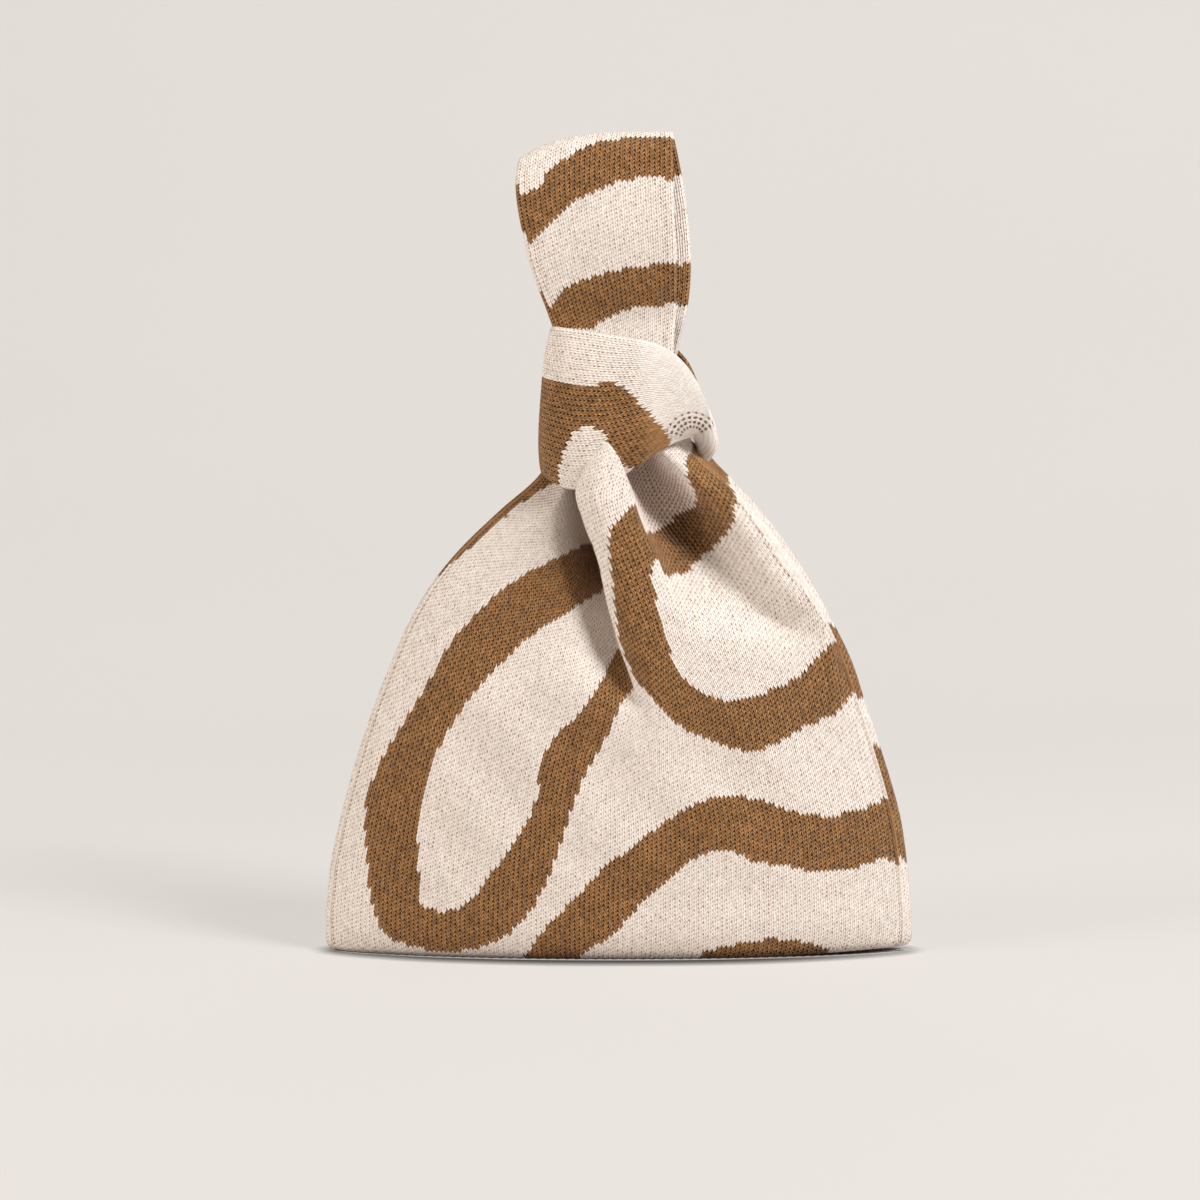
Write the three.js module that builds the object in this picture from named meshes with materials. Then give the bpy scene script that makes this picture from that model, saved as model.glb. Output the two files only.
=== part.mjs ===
// A knitted knot bag: a soft sack with two side straps of unequal length.
// The long strap is drawn up through the loop of the short one, which grips it like a band,
// and its free end stands above the knot as a wrist loop.
// Millimetres, +Z up, front towards -Y, origin on the floor at the centre of the base.
import * as THREE from "three";

// The knit
const KNIT = 3; // thickness of the double jacquard knit
const GAP = 0.3; // clearance between neighbouring pieces
const SLOPING_GAP = 0.6; // clearance, measured upright, below the band's sloping lower edge

// The sack
const BASE_HALF_WIDTH = 126.5;
const BASE_HALF_DEPTH = 25;
const BASE_ROUND = 6; // radius of the fold along the bottom edge
const SIDE_UPRIGHT = 72; // height up to which the sides stay nearly upright
const RIGHT_SHOULDER = { x: 99, z: 158 }; // handle of the right outline's upper curve
const LEFT_SHOULDER = { x: -98, z: 160 };
const NECK_RIGHT = { x: 37, z: 216 }; // where the sides run in under the knot
const NECK_LEFT = { x: -30, z: 209.5 };
const NECK_HALF_DEPTH = 23.5;
const BELLY = { y: 38, z: 45 }; // handles of the depth profile
const SLOPE = { y: 30, z: 150 };
const LENS = 2.2; // exponent of the sack's lens-shaped section
const EDGE_HALF_DEPTH = 2.5; // half the sack's thickness along its side edges
const SEAM_WIDTH = 4; // width of the linked seam along each side

// The pleat at the root of the long strap, on the front
const PLEAT_TOP = { x: -5, z: 219.5 };
const PLEAT_FOOT = { x: 16, z: 98 };
const PLEAT_HALF_WIDTH = 12.5;
const PLEAT_HEIGHT = 5.5; // how far its crest stands out
const PLEAT_RIM = 1; // thickness along its rim
const PLEAT_FULL = 0.5; // share of its height at which the crest is full
const VALLEY_DEPTH = 9; // hollow of the front panel beside the pleat
const VALLEY_HALF_WIDTH = 10;
const VALLEY_FULL = 60; // height over which the hollow grows to its full depth

// The band: the short strap wrapped round the long one
const BAND_LEFT = -33.75;
const BAND_RIGHT = 40;
const BAND_HALF_DEPTH = 25;
const BAND_ROUND = 2.4; // exponent of its section in plan
const BAND_BOTTOM = 203.5;
const BAND_TOP = 267.5; // at its left end
const BAND_FALL = 8; // fall of the top edge along the front
const BAND_DROP = 40; // further drop of the top edge where the strap turns down at the right
const BAND_DROP_POWER = 5;
const BAND_LIFT = 19.7; // rise of the lower edge towards the right
const BAND_LIFT_FROM = -12;
const BAND_LIFT_TO = 31;
const BAND_ROLL = 9; // the lower edge rolls down again at the right end
const SEAM_SWEEP = 0.05; // share of half a turn taken by the seam of the short strap

// The hems of the mouth, gathered inside the band
const HEM = 2.6;
const HEM_HEIGHT = 8;
const HEM_SWEEP = [0.12, 0.88]; // share of each half of the band that a hem lines

// The long strap
const STRAP_LEFT = -28.6; // its edges where the band pinches it
const STRAP_RIGHT = 23.5;
const LEG_FOOT = 8; // height of the legs' lower ends above the band's lower edge
const LEG_INSET = 3; // how far the gathered legs narrow at their lower end
const LEG_CLEARANCE = 0.4; // running clearance of the legs inside the hems
const LEG_SPACE = 0.6; // half the space between the two legs
const PINCH_ABOVE = 3.5; // height of the pinch above the band's top
const TAPER = 16; // height over which the legs thin down to the pinch

// The wrist loop
const LOOP_TOP = 350;
const LOOP_LEFT = -42; // its edges at the top
const LOOP_RIGHT = 20.5;
const LOOP_BOW = 2.5; // outward bow of the edges
const LOOP_SPREAD = { y: -9, z: 30 }; // handle of the side profile above the pinch
const CROWN_SPREAD = -17; // handle of the side profile at the top
const CROWN_FROM = 0.78; // share of each side's length below the crown
const CROWN_TILT = 9.5; // how far the left end of the crown hangs lower
const CROWN_TILT_POWER = 4;
const SELVEDGE = 4; // width of the turned edges
const CROWN_SEAM = { width: 5, height: 1.6 };

const CREAM = 0xe9dccf;
const BROWN = 0x8a6340;
const knitLook = (color) =>
  new THREE.MeshStandardMaterial({ color, roughness: 0.95, metalness: 0 });
const panelKnit = knitLook(CREAM);
const strapKnit = knitLook(CREAM);
const bandKnit = knitLook(BROWN);
const seamYarn = knitLook(CREAM);

const { lerp, clamp, smoothstep } = THREE.MathUtils;

// A closed sheet over a grid of columns and rows. point(u, v, side) gives the place on
// its outer (side 0) or inner (side 1) face, with u and v from 0 to 1.
function sheet(columns, rows, point) {
  const places = [];
  const at = (side, i, j) => (side * (columns + 1) + i) * (rows + 1) + j;
  for (const side of [0, 1])
    for (let i = 0; i <= columns; i++)
      for (let j = 0; j <= rows; j++) places.push(...point(i / columns, j / rows, side));
  const triangles = [];
  const quad = (a, b, c, d) => triangles.push(a, b, c, a, c, d);
  for (let i = 0; i < columns; i++)
    for (let j = 0; j < rows; j++) {
      quad(at(0, i, j), at(0, i + 1, j), at(0, i + 1, j + 1), at(0, i, j + 1));
      quad(at(1, i, j), at(1, i, j + 1), at(1, i + 1, j + 1), at(1, i + 1, j));
    }
  for (let i = 0; i < columns; i++) {
    quad(at(0, i, 0), at(1, i, 0), at(1, i + 1, 0), at(0, i + 1, 0));
    quad(at(0, i, rows), at(0, i + 1, rows), at(1, i + 1, rows), at(1, i, rows));
  }
  for (let j = 0; j < rows; j++) {
    quad(at(0, 0, j), at(0, 0, j + 1), at(1, 0, j + 1), at(1, 0, j));
    quad(at(0, columns, j), at(1, columns, j), at(1, columns, j + 1), at(0, columns, j + 1));
  }
  if (volumeOf(places, triangles) < 0) triangles.reverse();
  const geometry = new THREE.BufferGeometry();
  geometry.setAttribute("position", new THREE.Float32BufferAttribute(places, 3));
  geometry.setIndex(triangles);
  geometry.computeVertexNormals();
  return geometry;
}

function volumeOf(places, triangles) {
  const corner = (n) => new THREE.Vector3().fromArray(places, 3 * n);
  let volume = 0;
  for (let n = 0; n < triangles.length; n += 3) {
    const [a, b, c] = triangles.slice(n, n + 3).map(corner);
    volume += a.dot(b.cross(c)) / 6;
  }
  return volume;
}

function named(name, geometry, material) {
  const mesh = new THREE.Mesh(geometry, material);
  mesh.name = name;
  return mesh;
}

// The sack's outline from the front, and its depth, as curves that climb with height.
const climb = (...points) =>
  new THREE.CubicBezierCurve(...points.map(([across, z]) => new THREE.Vector2(across, z)));
const rightOutline = climb(
  [BASE_HALF_WIDTH, 0],
  [BASE_HALF_WIDTH, SIDE_UPRIGHT],
  [RIGHT_SHOULDER.x, RIGHT_SHOULDER.z],
  [NECK_RIGHT.x, NECK_RIGHT.z],
);
const leftOutline = climb(
  [-BASE_HALF_WIDTH, 0],
  [-BASE_HALF_WIDTH, SIDE_UPRIGHT],
  [LEFT_SHOULDER.x, LEFT_SHOULDER.z],
  [NECK_LEFT.x, NECK_LEFT.z],
);
const depthProfile = climb(
  [BASE_HALF_DEPTH - EDGE_HALF_DEPTH, 0],
  [BELLY.y - EDGE_HALF_DEPTH, BELLY.z],
  [SLOPE.y - EDGE_HALF_DEPTH, SLOPE.z],
  [NECK_HALF_DEPTH - EDGE_HALF_DEPTH, BAND_BOTTOM],
);

// A climbing curve's distance across at height z, found by halving; past its end it stays.
function acrossAt(curve, z) {
  let low = 0;
  let high = 1;
  for (let step = 0; step < 18; step++) {
    const middle = (low + high) / 2;
    if (curve.getPoint(middle).y < z) low = middle;
    else high = middle;
  }
  return curve.getPoint(high).x;
}

// How far the rounded bottom fold draws the sack in at height z.
function foldInset(z) {
  const below = BASE_ROUND - Math.min(z, BASE_ROUND);
  return BASE_ROUND - Math.sqrt(BASE_ROUND ** 2 - below ** 2);
}

const leftEdge = (z) => acrossAt(leftOutline, z) + foldInset(z);
const rightEdge = (z) => acrossAt(rightOutline, z) - foldInset(z);

// Half the sack's depth at share u of its width and height z, before any pleat.
function halfDepth(u, z) {
  const lens = 1 - Math.abs(2 * u - 1) ** LENS;
  return Math.max(acrossAt(depthProfile, z) - foldInset(z), 0) * lens + EDGE_HALF_DEPTH;
}

// The pleat's centre line and the hollow that it leaves in the panel on its left.
const pleatShare = (z) => (z - PLEAT_FOOT.z) / (PLEAT_TOP.z - PLEAT_FOOT.z);
const pleatX = (z) => lerp(PLEAT_FOOT.x, PLEAT_TOP.x, pleatShare(z));
function valley(x, z) {
  const off = (x - pleatX(z) + PLEAT_HALF_WIDTH) / VALLEY_HALF_WIDTH;
  return VALLEY_DEPTH * smoothstep(z, PLEAT_FOOT.z, PLEAT_FOOT.z + VALLEY_FULL) * Math.exp(-off * off);
}

// The band's edges over the width, and its outline in plan at share s of half a turn.
const bandX = (BAND_LEFT + BAND_RIGHT) / 2;
const bandHalfWidth = (BAND_RIGHT - BAND_LEFT) / 2;
function bandBottom(x) {
  const lift = BAND_LIFT * smoothstep(x, BAND_LIFT_FROM, BAND_LIFT_TO);
  return BAND_BOTTOM + lift - BAND_ROLL * smoothstep(x, BAND_LIFT_TO, BAND_RIGHT);
}
function bandTop(x) {
  const share = clamp((x - BAND_LEFT) / (BAND_RIGHT - BAND_LEFT), 0, 1);
  return BAND_TOP - BAND_FALL * share - BAND_DROP * (1 - Math.sqrt(1 - share ** BAND_DROP_POWER));
}
function bandPlan(s, inset) {
  const power = 2 / BAND_ROUND;
  const cos = -Math.cos(Math.PI * s);
  const sin = Math.sin(Math.PI * s);
  const x = bandX + (bandHalfWidth - inset) * Math.sign(cos) * Math.abs(cos) ** power;
  return [x, (BAND_HALF_DEPTH - inset) * Math.abs(sin) ** power];
}
function bandFrontDepth(x) {
  const off = clamp(Math.abs(x - bandX) / bandHalfWidth, 0, 1);
  return BAND_HALF_DEPTH * (1 - off ** BAND_ROUND) ** (1 / BAND_ROUND);
}

// Front and back panels: knitted sheets from the base up to the band's lower edge.
const panelFoot = KNIT + GAP;
const panelRows = 16; // shared with the side seams, so that their facets run together
function panelX(u, z) {
  const seam = SEAM_WIDTH + GAP;
  return lerp(leftEdge(z) + seam, rightEdge(z) - seam, u);
}
// The height where a column, whose x is given by height, meets the band: stepping towards it.
function meetBand(xAt) {
  let z = BAND_BOTTOM;
  for (let step = 0; step < 14; step++) z = (z + bandBottom(xAt(z)) - SLOPING_GAP) / 2;
  return z;
}
const widthShare = (x, z) => (x - leftEdge(z)) / (rightEdge(z) - leftEdge(z));
function panel(facing, columns) {
  const tops = [];
  for (let i = 0; i <= columns; i++) tops.push(meetBand((z) => panelX(i / columns, z)));
  return sheet(columns, panelRows, (u, v, side) => {
    const z = lerp(panelFoot, tops[Math.round(u * columns)], v);
    const x = panelX(u, z);
    const outer = halfDepth(widthShare(x, z), z) - (facing < 0 ? valley(x, z) : 0);
    const depth = side === 0 ? outer : Math.max(outer - KNIT, GAP / 2);
    return [x, facing * depth, z];
  });
}

// The base: the turned-under bottom of the sack, a lens lying on the floor.
function basePanel() {
  return sheet(32, 2, (u, v, side) => {
    const z = side === 0 ? 0 : KNIT;
    const x = lerp(leftEdge(z), rightEdge(z), u);
    return [x, (2 * v - 1) * halfDepth(u, z), z];
  });
}

// Side seams: linked ridges that close the front and back panels along the sides.
function sideSeam(edge, inward) {
  return sheet(2, panelRows, (u, v, side) => {
    const seamX = (height) => edge(height) + inward * SEAM_WIDTH * u;
    const z = lerp(panelFoot, meetBand(seamX), v);
    const x = seamX(z);
    return [x, (2 * side - 1) * halfDepth(widthShare(x, z), z), z];
  });
}

// The root of the long strap: a rounded pleat that lies on the front panel and rises over
// the band's lower edge. Its crest grows from the foot, and its top end is a half round.
function strapRoot() {
  return sheet(8, 18, (u, v, side) => {
    const z = lerp(PLEAT_FOOT.z, PLEAT_TOP.z, Math.sin((Math.PI / 2) * v));
    const fromTop = Math.min((PLEAT_TOP.z - z) / PLEAT_HALF_WIDTH, 1);
    const halfWidth = Math.max(PLEAT_HALF_WIDTH * Math.sqrt(1 - (1 - fromTop) ** 2), PLEAT_RIM);
    const across = 2 * u - 1;
    const x = pleatX(z) + across * halfWidth;
    const seat = Math.max(halfDepth(widthShare(x, z), z), bandFrontDepth(x)) + GAP;
    const crest = PLEAT_HEIGHT * smoothstep(pleatShare(z), 0, PLEAT_FULL);
    const height = PLEAT_RIM + crest * (1 - across * across);
    return [x, -seat - (side === 0 ? height : 0), z];
  });
}

// The band's front and back, closed at the left end by a linked seam.
const rightStop = GAP / (Math.PI * BAND_HALF_DEPTH);
function bandPart(facing, from, to, columns) {
  return sheet(columns, 1, (u, v, side) => {
    const [x, depth] = bandPlan(lerp(from, to, u), side * KNIT);
    return [x, facing * Math.max(depth, GAP / 2), lerp(bandBottom(x), bandTop(x), v)];
  });
}
function bandSeam() {
  return sheet(8, 1, (u, v, side) => {
    const turn = 2 * u - 1;
    const [x, depth] = bandPlan(Math.abs(turn) * SEAM_SWEEP, side * KNIT);
    return [x, Math.sign(turn) * Math.max(depth - GAP, 0), lerp(bandBottom(x), bandTop(x), v)];
  });
}

// The hems of the mouth, standing on the panels' upper edges inside the band.
function mouthHem(facing) {
  return sheet(24, 1, (u, v, side) => {
    const [x, depth] = bandPlan(lerp(...HEM_SWEEP, u), KNIT + GAP + side * HEM);
    return [x, facing * depth, bandBottom(x) + GAP + v * HEM_HEIGHT];
  });
}

// The legs of the long strap, gathered inside the band and pinched together at its top.
const pinchZ = BAND_TOP + PINCH_ABOVE;
const pinchHalf = LEG_SPACE + KNIT;
const legTop = pinchZ - pinchHalf - GAP;
const legHalfDepth = BAND_HALF_DEPTH - KNIT - GAP - HEM - LEG_CLEARANCE;
function strapLeg(facing) {
  return sheet(10, 10, (u, v, side) => {
    const z = lerp(BAND_BOTTOM + LEG_FOOT, legTop, v);
    const inset = LEG_INSET * (1 - v);
    const x = lerp(STRAP_LEFT + inset, STRAP_RIGHT - inset, u);
    const thin = smoothstep(z, legTop - TAPER, legTop);
    const full = (legHalfDepth - pinchHalf) * (1 - thin) * (1 - (2 * u - 1) ** 2) + pinchHalf;
    return [x, facing * (side === 0 ? full : LEG_SPACE), z];
  });
}

// The wrist loop: the strap's side profile from the pinch up and over the crown.
const sideProfile = new THREE.CubicBezierCurve(
  new THREE.Vector2(-LEG_SPACE - KNIT / 2, pinchZ),
  new THREE.Vector2(LOOP_SPREAD.y, pinchZ + LOOP_SPREAD.z),
  new THREE.Vector2(CROWN_SPREAD, LOOP_TOP - KNIT / 2),
  new THREE.Vector2(0, LOOP_TOP - KNIT / 2),
);

// A point of the strap: t runs from the front pinch (0) over the crown (1) to the back
// pinch (2), and inset is the depth below its outer face.
function strapProfile(t, inset) {
  const facing = t > 1 ? -1 : 1;
  const share = facing > 0 ? t : 2 - t;
  const middle = sideProfile.getPoint(share);
  const along = sideProfile.getTangent(share);
  const out = KNIT / 2 - inset;
  if (share === 0 && out < 0) return [-facing * LEG_SPACE, pinchZ - pinchHalf];
  return [facing * (middle.x - along.y * out), middle.y + along.x * out];
}

// The strap's edges widen towards the top, and the left end of the crown hangs lower.
function strapPlace(across, t, inset) {
  const [y, z] = strapProfile(t, inset);
  const share = clamp((z - pinchZ) / (LOOP_TOP - pinchZ), 0, 1);
  const bow = LOOP_BOW * 4 * share * (1 - share);
  const left = lerp(STRAP_LEFT, LOOP_LEFT, share) - bow;
  const right = lerp(STRAP_RIGHT, LOOP_RIGHT, share) - bow / 2;
  const x = left + across.inset + (right - left - 2 * across.inset) * across.share + across.shift;
  const low = clamp((right - x) / (right - left), 0, 1);
  return [x, y, z - CROWN_TILT * (low * share) ** CROWN_TILT_POWER];
}
const strapColumns = 6; // shared with the crown seam, so that their facets run together
function loopPart(from, to, steps, edgeInset) {
  return sheet(steps, strapColumns, (u, v, side) => {
    const across = { inset: edgeInset, share: v, shift: 0 };
    return strapPlace(across, lerp(from, to, u), side * KNIT);
  });
}
function selvedge(atRight, steps) {
  return sheet(steps, 1, (u, v, side) => {
    const shift = (v - atRight) * SELVEDGE;
    return strapPlace({ inset: 0, share: atRight, shift }, 2 * u, side * KNIT);
  });
}

// The seam of the long strap: a low ridge across the inside of the crown.
const crownSeamHalf = CROWN_SEAM.width / 2 / (LOOP_TOP - pinchZ);
function crownSeam() {
  return sheet(2, strapColumns, (u, v, side) => {
    const across = { inset: SELVEDGE + 2 * GAP, share: v, shift: 0 };
    const t = lerp(1 - crownSeamHalf, 1 + crownSeamHalf, u);
    return strapPlace(across, t, KNIT + GAP + side * CROWN_SEAM.height);
  });
}

const between = GAP / (LOOP_TOP - pinchZ); // the clearance as a share of a side's length
const layerInset = SELVEDGE + GAP;

const sack = new THREE.Group();
sack.add(
  named("base_panel", basePanel(), panelKnit),
  named("front_panel", panel(-1, 22), panelKnit),
  named("back_panel", panel(1, 16), panelKnit),
  named("left_side_seam", sideSeam(leftEdge, 1), seamYarn),
  named("right_side_seam", sideSeam(rightEdge, -1), seamYarn),
  named("front_mouth_hem", mouthHem(-1), seamYarn),
  named("back_mouth_hem", mouthHem(1), seamYarn),
  named("long_strap_root", strapRoot(), panelKnit),
  named("short_strap_front", bandPart(-1, SEAM_SWEEP, 1 - rightStop, 36), bandKnit),
  named("short_strap_back", bandPart(1, SEAM_SWEEP, 1 - rightStop, 36), bandKnit),
  named("short_strap_seam", bandSeam(), seamYarn),
);

const longStrap = new THREE.Group();
longStrap.add(
  named("long_strap_front_leg", strapLeg(-1), strapKnit),
  named("long_strap_back_leg", strapLeg(1), strapKnit),
);

const wristLoop = new THREE.Group();
wristLoop.add(
  named("loop_front", loopPart(0, CROWN_FROM, 14, layerInset), strapKnit),
  named("loop_crown", loopPart(CROWN_FROM + between, 2 - CROWN_FROM - between, 12, layerInset), strapKnit),
  named("loop_back", loopPart(2 - CROWN_FROM, 2, 14, layerInset), strapKnit),
  named("loop_left_edge", selvedge(0, 32), seamYarn),
  named("loop_right_edge", selvedge(1, 32), seamYarn),
  named("loop_crown_seam", crownSeam(), seamYarn),
);

const knotBag = new THREE.Group();
knotBag.add(sack, longStrap, wristLoop);

export default knotBag;
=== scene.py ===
import math

import bpy
import numpy as np
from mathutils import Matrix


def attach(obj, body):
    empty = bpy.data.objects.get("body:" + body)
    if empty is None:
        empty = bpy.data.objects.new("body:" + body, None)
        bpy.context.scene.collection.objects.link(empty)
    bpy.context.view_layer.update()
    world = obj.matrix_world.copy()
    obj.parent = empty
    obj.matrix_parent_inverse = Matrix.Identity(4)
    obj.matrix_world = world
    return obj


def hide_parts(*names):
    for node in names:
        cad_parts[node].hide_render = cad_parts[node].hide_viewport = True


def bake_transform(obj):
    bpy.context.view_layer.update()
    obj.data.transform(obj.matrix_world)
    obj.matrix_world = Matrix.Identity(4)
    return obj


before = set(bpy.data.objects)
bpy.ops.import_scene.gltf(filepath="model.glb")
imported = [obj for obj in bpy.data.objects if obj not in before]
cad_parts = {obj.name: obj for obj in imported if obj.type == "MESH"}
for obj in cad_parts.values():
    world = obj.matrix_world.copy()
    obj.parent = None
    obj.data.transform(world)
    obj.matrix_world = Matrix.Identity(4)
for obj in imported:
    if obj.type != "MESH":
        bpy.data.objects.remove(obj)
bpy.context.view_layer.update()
MM = 0.001
scene = bpy.context.scene


# The studio: a pale paper sweep that serves as floor and backdrop, with a contact shadow painted
# into its colour round the bag, a soft lamp high at the right, a weaker one at the left, and
# faint warm light from all round. The camera looks slightly down.
TARGET = np.array([-8.5, 0.0, 152.0])
EYE_DISTANCE = 1300
EYE_RISE = math.radians(6)
FRAME_WIDTH = 512.4  # width of the picture at the target
SENSOR = 36
EYE = TARGET + EYE_DISTANCE * np.array([0, -math.cos(EYE_RISE), math.sin(EYE_RISE)])
SWEEP_HALF_WIDTH = 3000
SWEEP_NEAR = -2200
SWEEP_FAR = 1300
SWEEP_RADIUS = 700
SWEEP_TOP = 2600
SWEEP_STEPS = 24  # in the bend from floor to backdrop
PAPER_EVENNESS = 0.72  # share of the paper's colour that shade doesn't reach, as the eye sees it
PAPER_TOOTH = 9  # scale of the paper's faint unevenness
CONTACT_REACH = 9  # how far from the bag the shadow painted into the paper's colour reaches
CONTACT_DEPTH = 2  # and how quickly that painted shadow deepens


def linear(red, green, blue):
    """An everyday 0 to 255 colour as the linear colour that a shader takes."""

    def channel(value):
        value /= 255
        return value / 12.92 if value <= 0.04045 else ((value + 0.055) / 1.055) ** 2.4

    return (channel(red), channel(green), channel(blue), 1)


PAPER_SHADES = (linear(228, 223, 218), linear(232, 227, 223))
# colour of the contact shadow painted into the paper round the bag
PAINTED_CONTACT_SHADE = linear(60, 52, 44)
AIR_LIGHT = (1.0, 0.76, 0.5, 1)
AIR_STRENGTH = 0.1
AIR_SEEN = linear(226, 221, 215)


def new_material(name, roughness):
    material = bpy.data.materials.new(name)
    material.use_nodes = True
    shader = material.node_tree.nodes["Principled BSDF"]
    shader.inputs["Roughness"].default_value = roughness
    return material, shader


def value_node(nodes, links, operation, *operands):
    """A Math node on sockets and plain numbers; returns its output."""
    node = nodes.new("ShaderNodeMath")
    node.operation = operation
    for slot, operand in zip(node.inputs, operands):
        if isinstance(operand, (int, float)):
            slot.default_value = operand
        else:
            links.new(operand, slot)
    return node.outputs[0]


def mixed(nodes, links, share, first, second):
    """A colour between two colours or colour sockets."""
    node = nodes.new("ShaderNodeMix")
    node.data_type = "RGBA"
    links.new(share, node.inputs[0])
    for slot, colour in ((node.inputs[6], first), (node.inputs[7], second)):
        if isinstance(colour, tuple):
            slot.default_value = colour
        else:
            links.new(colour, slot)
    return node.outputs[2]


def looked_at(nodes, links):
    """1 where a surface is looked at, straight or in a shiny or clear thing, and 0 where it only
    gives light."""
    ray = nodes.new("ShaderNodeLightPath")
    glimpsed = value_node(
        nodes, links, "MAXIMUM", ray.outputs["Is Glossy Ray"], ray.outputs["Is Transmission Ray"]
    )
    return value_node(nodes, links, "MAXIMUM", ray.outputs["Is Camera Ray"], glimpsed)


def paper_sweep():
    bend = [math.pi / 2 * n / SWEEP_STEPS for n in range(SWEEP_STEPS + 1)]
    profile = [(SWEEP_NEAR, 0)]
    profile += [
        (SWEEP_FAR - SWEEP_RADIUS + SWEEP_RADIUS * math.sin(a), SWEEP_RADIUS * (1 - math.cos(a)))
        for a in bend
    ]
    profile.append((SWEEP_FAR, SWEEP_TOP))
    sides = (-SWEEP_HALF_WIDTH, SWEEP_HALF_WIDTH)
    corners = [(x * MM, y * MM, z * MM) for x in sides for y, z in profile]
    count = len(profile)
    faces = [(n, n + count, n + count + 1, n + 1) for n in range(count - 1)]
    mesh = bpy.data.meshes.new("paper_sweep")
    mesh.from_pydata(corners, [], faces)
    mesh.polygons.foreach_set("use_smooth", [True] * len(faces))
    return bpy.data.objects.new("paper_sweep", mesh)


def paper_look():
    material, shader = new_material("backdrop_paper", roughness=0.9)
    nodes, links = material.node_tree.nodes, material.node_tree.links
    tooth = nodes.new("ShaderNodeTexNoise")
    tooth.inputs["Scale"].default_value = PAPER_TOOTH
    shades = mixed(nodes, links, tooth.outputs["Fac"], *PAPER_SHADES)
    # A contact shadow painted into the paper: its colour darkens towards the painted shade where the
    # bag is near.
    clear = nodes.new("ShaderNodeAmbientOcclusion")
    clear.inputs["Distance"].default_value = CONTACT_REACH * MM
    painted_shadow_share = value_node(nodes, links, "POWER", clear.outputs["AO"], CONTACT_DEPTH)
    paper = mixed(nodes, links, painted_shadow_share, PAINTED_CONTACT_SHADE, shades)
    links.new(paper, shader.inputs["Base Color"])
    shader.inputs["Specular IOR Level"].default_value = 0.1
    glow = nodes.new("ShaderNodeEmission")
    links.new(paper, glow.inputs["Color"])
    evenness = value_node(nodes, links, "MULTIPLY", looked_at(nodes, links), PAPER_EVENNESS)
    even = nodes.new("ShaderNodeMixShader")
    links.new(evenness, even.inputs[0])
    links.new(shader.outputs[0], even.inputs[1])
    links.new(glow.outputs[0], even.inputs[2])
    links.new(even.outputs[0], nodes["Material Output"].inputs["Surface"])
    return material


def aimed(obj, place, target):
    """Puts a lamp or camera at a place, looking at a target, both in millimetres."""
    away = np.asarray(place, float) - np.asarray(target, float)
    flat = math.hypot(away[0], away[1])
    obj.location = [c * MM for c in place]
    obj.rotation_euler = (math.atan2(flat, away[2]), 0, math.atan2(away[0], -away[1]))
    scene.collection.objects.link(obj)


sweep = paper_sweep()
sweep.data.materials.append(paper_look())
scene.collection.objects.link(sweep)

LAMP_SIZE = 600
LAMP_AIM = (0, 0, 150)


def softbox(name, place, power, colour):
    lamp = bpy.data.lights.new(name, "AREA")
    lamp.shape = "SQUARE"
    lamp.size = LAMP_SIZE * MM
    lamp.energy = power
    lamp.color = colour
    aimed(bpy.data.objects.new(name, lamp), place, LAMP_AIM)


softbox("key_softbox", place=(1280, -830, 1600), power=45, colour=(1.0, 1.0, 1.0))
softbox("fill_softbox", place=(-1500, -650, 900), power=18, colour=(1.0, 0.955, 0.9))


def studio_air():
    """Faint warm light from all round, and pale air past the paper's ends where it is looked at."""
    world = bpy.data.worlds.new("studio_air")
    world.use_nodes = True
    nodes, links = world.node_tree.nodes, world.node_tree.links
    light = nodes["Background"]
    light.inputs["Color"].default_value = AIR_LIGHT
    light.inputs["Strength"].default_value = AIR_STRENGTH
    beyond = nodes.new("ShaderNodeBackground")
    beyond.inputs["Color"].default_value = AIR_SEEN
    either = nodes.new("ShaderNodeMixShader")
    links.new(looked_at(nodes, links), either.inputs[0])
    links.new(light.outputs[0], either.inputs[1])
    links.new(beyond.outputs[0], either.inputs[2])
    links.new(either.outputs[0], nodes["World Output"].inputs["Surface"])
    return world


scene.world = studio_air()
scene.view_settings.view_transform = "Standard"

lens = bpy.data.cameras.new("camera")
lens.sensor_width = SENSOR
lens.lens = SENSOR * EYE_DISTANCE / FRAME_WIDTH
camera = bpy.data.objects.new("camera", lens)
aimed(camera, EYE, TARGET)
scene.camera = camera


# The base panel: the turned-under bottom of the sack, a lens of double jacquard knit that
# lies on the floor. The front and back panels grow out of its edges.
COURSE = 1.75  # height of one row of stitches
SLANT = 0.85  # drop of a stitch's point, as a share of a course
FOLD = 6  # radius of the bottom fold
FOLD_LIFT = 0.6  # gap under the bottom fold
RIGHT_LIFT = 1.6  # its rise at the right corner
CORNER = 0.6  # the fold is tighter at the bottom corners
LENS = 2.2  # exponents of the sack's section
LENS_ROUND = 0.75
CREAM = linear(248, 239, 231)
# colour in the holes of the cream knit: the brown yarn behind, darkened by painted shade
CREAM_GAP_AND_SHADE = linear(150, 96, 54)
BROWN = linear(172, 125, 78)
# colour in the holes of the brown knit: the yarn behind, darkened almost to black by painted shade
BROWN_GAP_AND_SHADE = linear(42, 20, 5)

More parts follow.
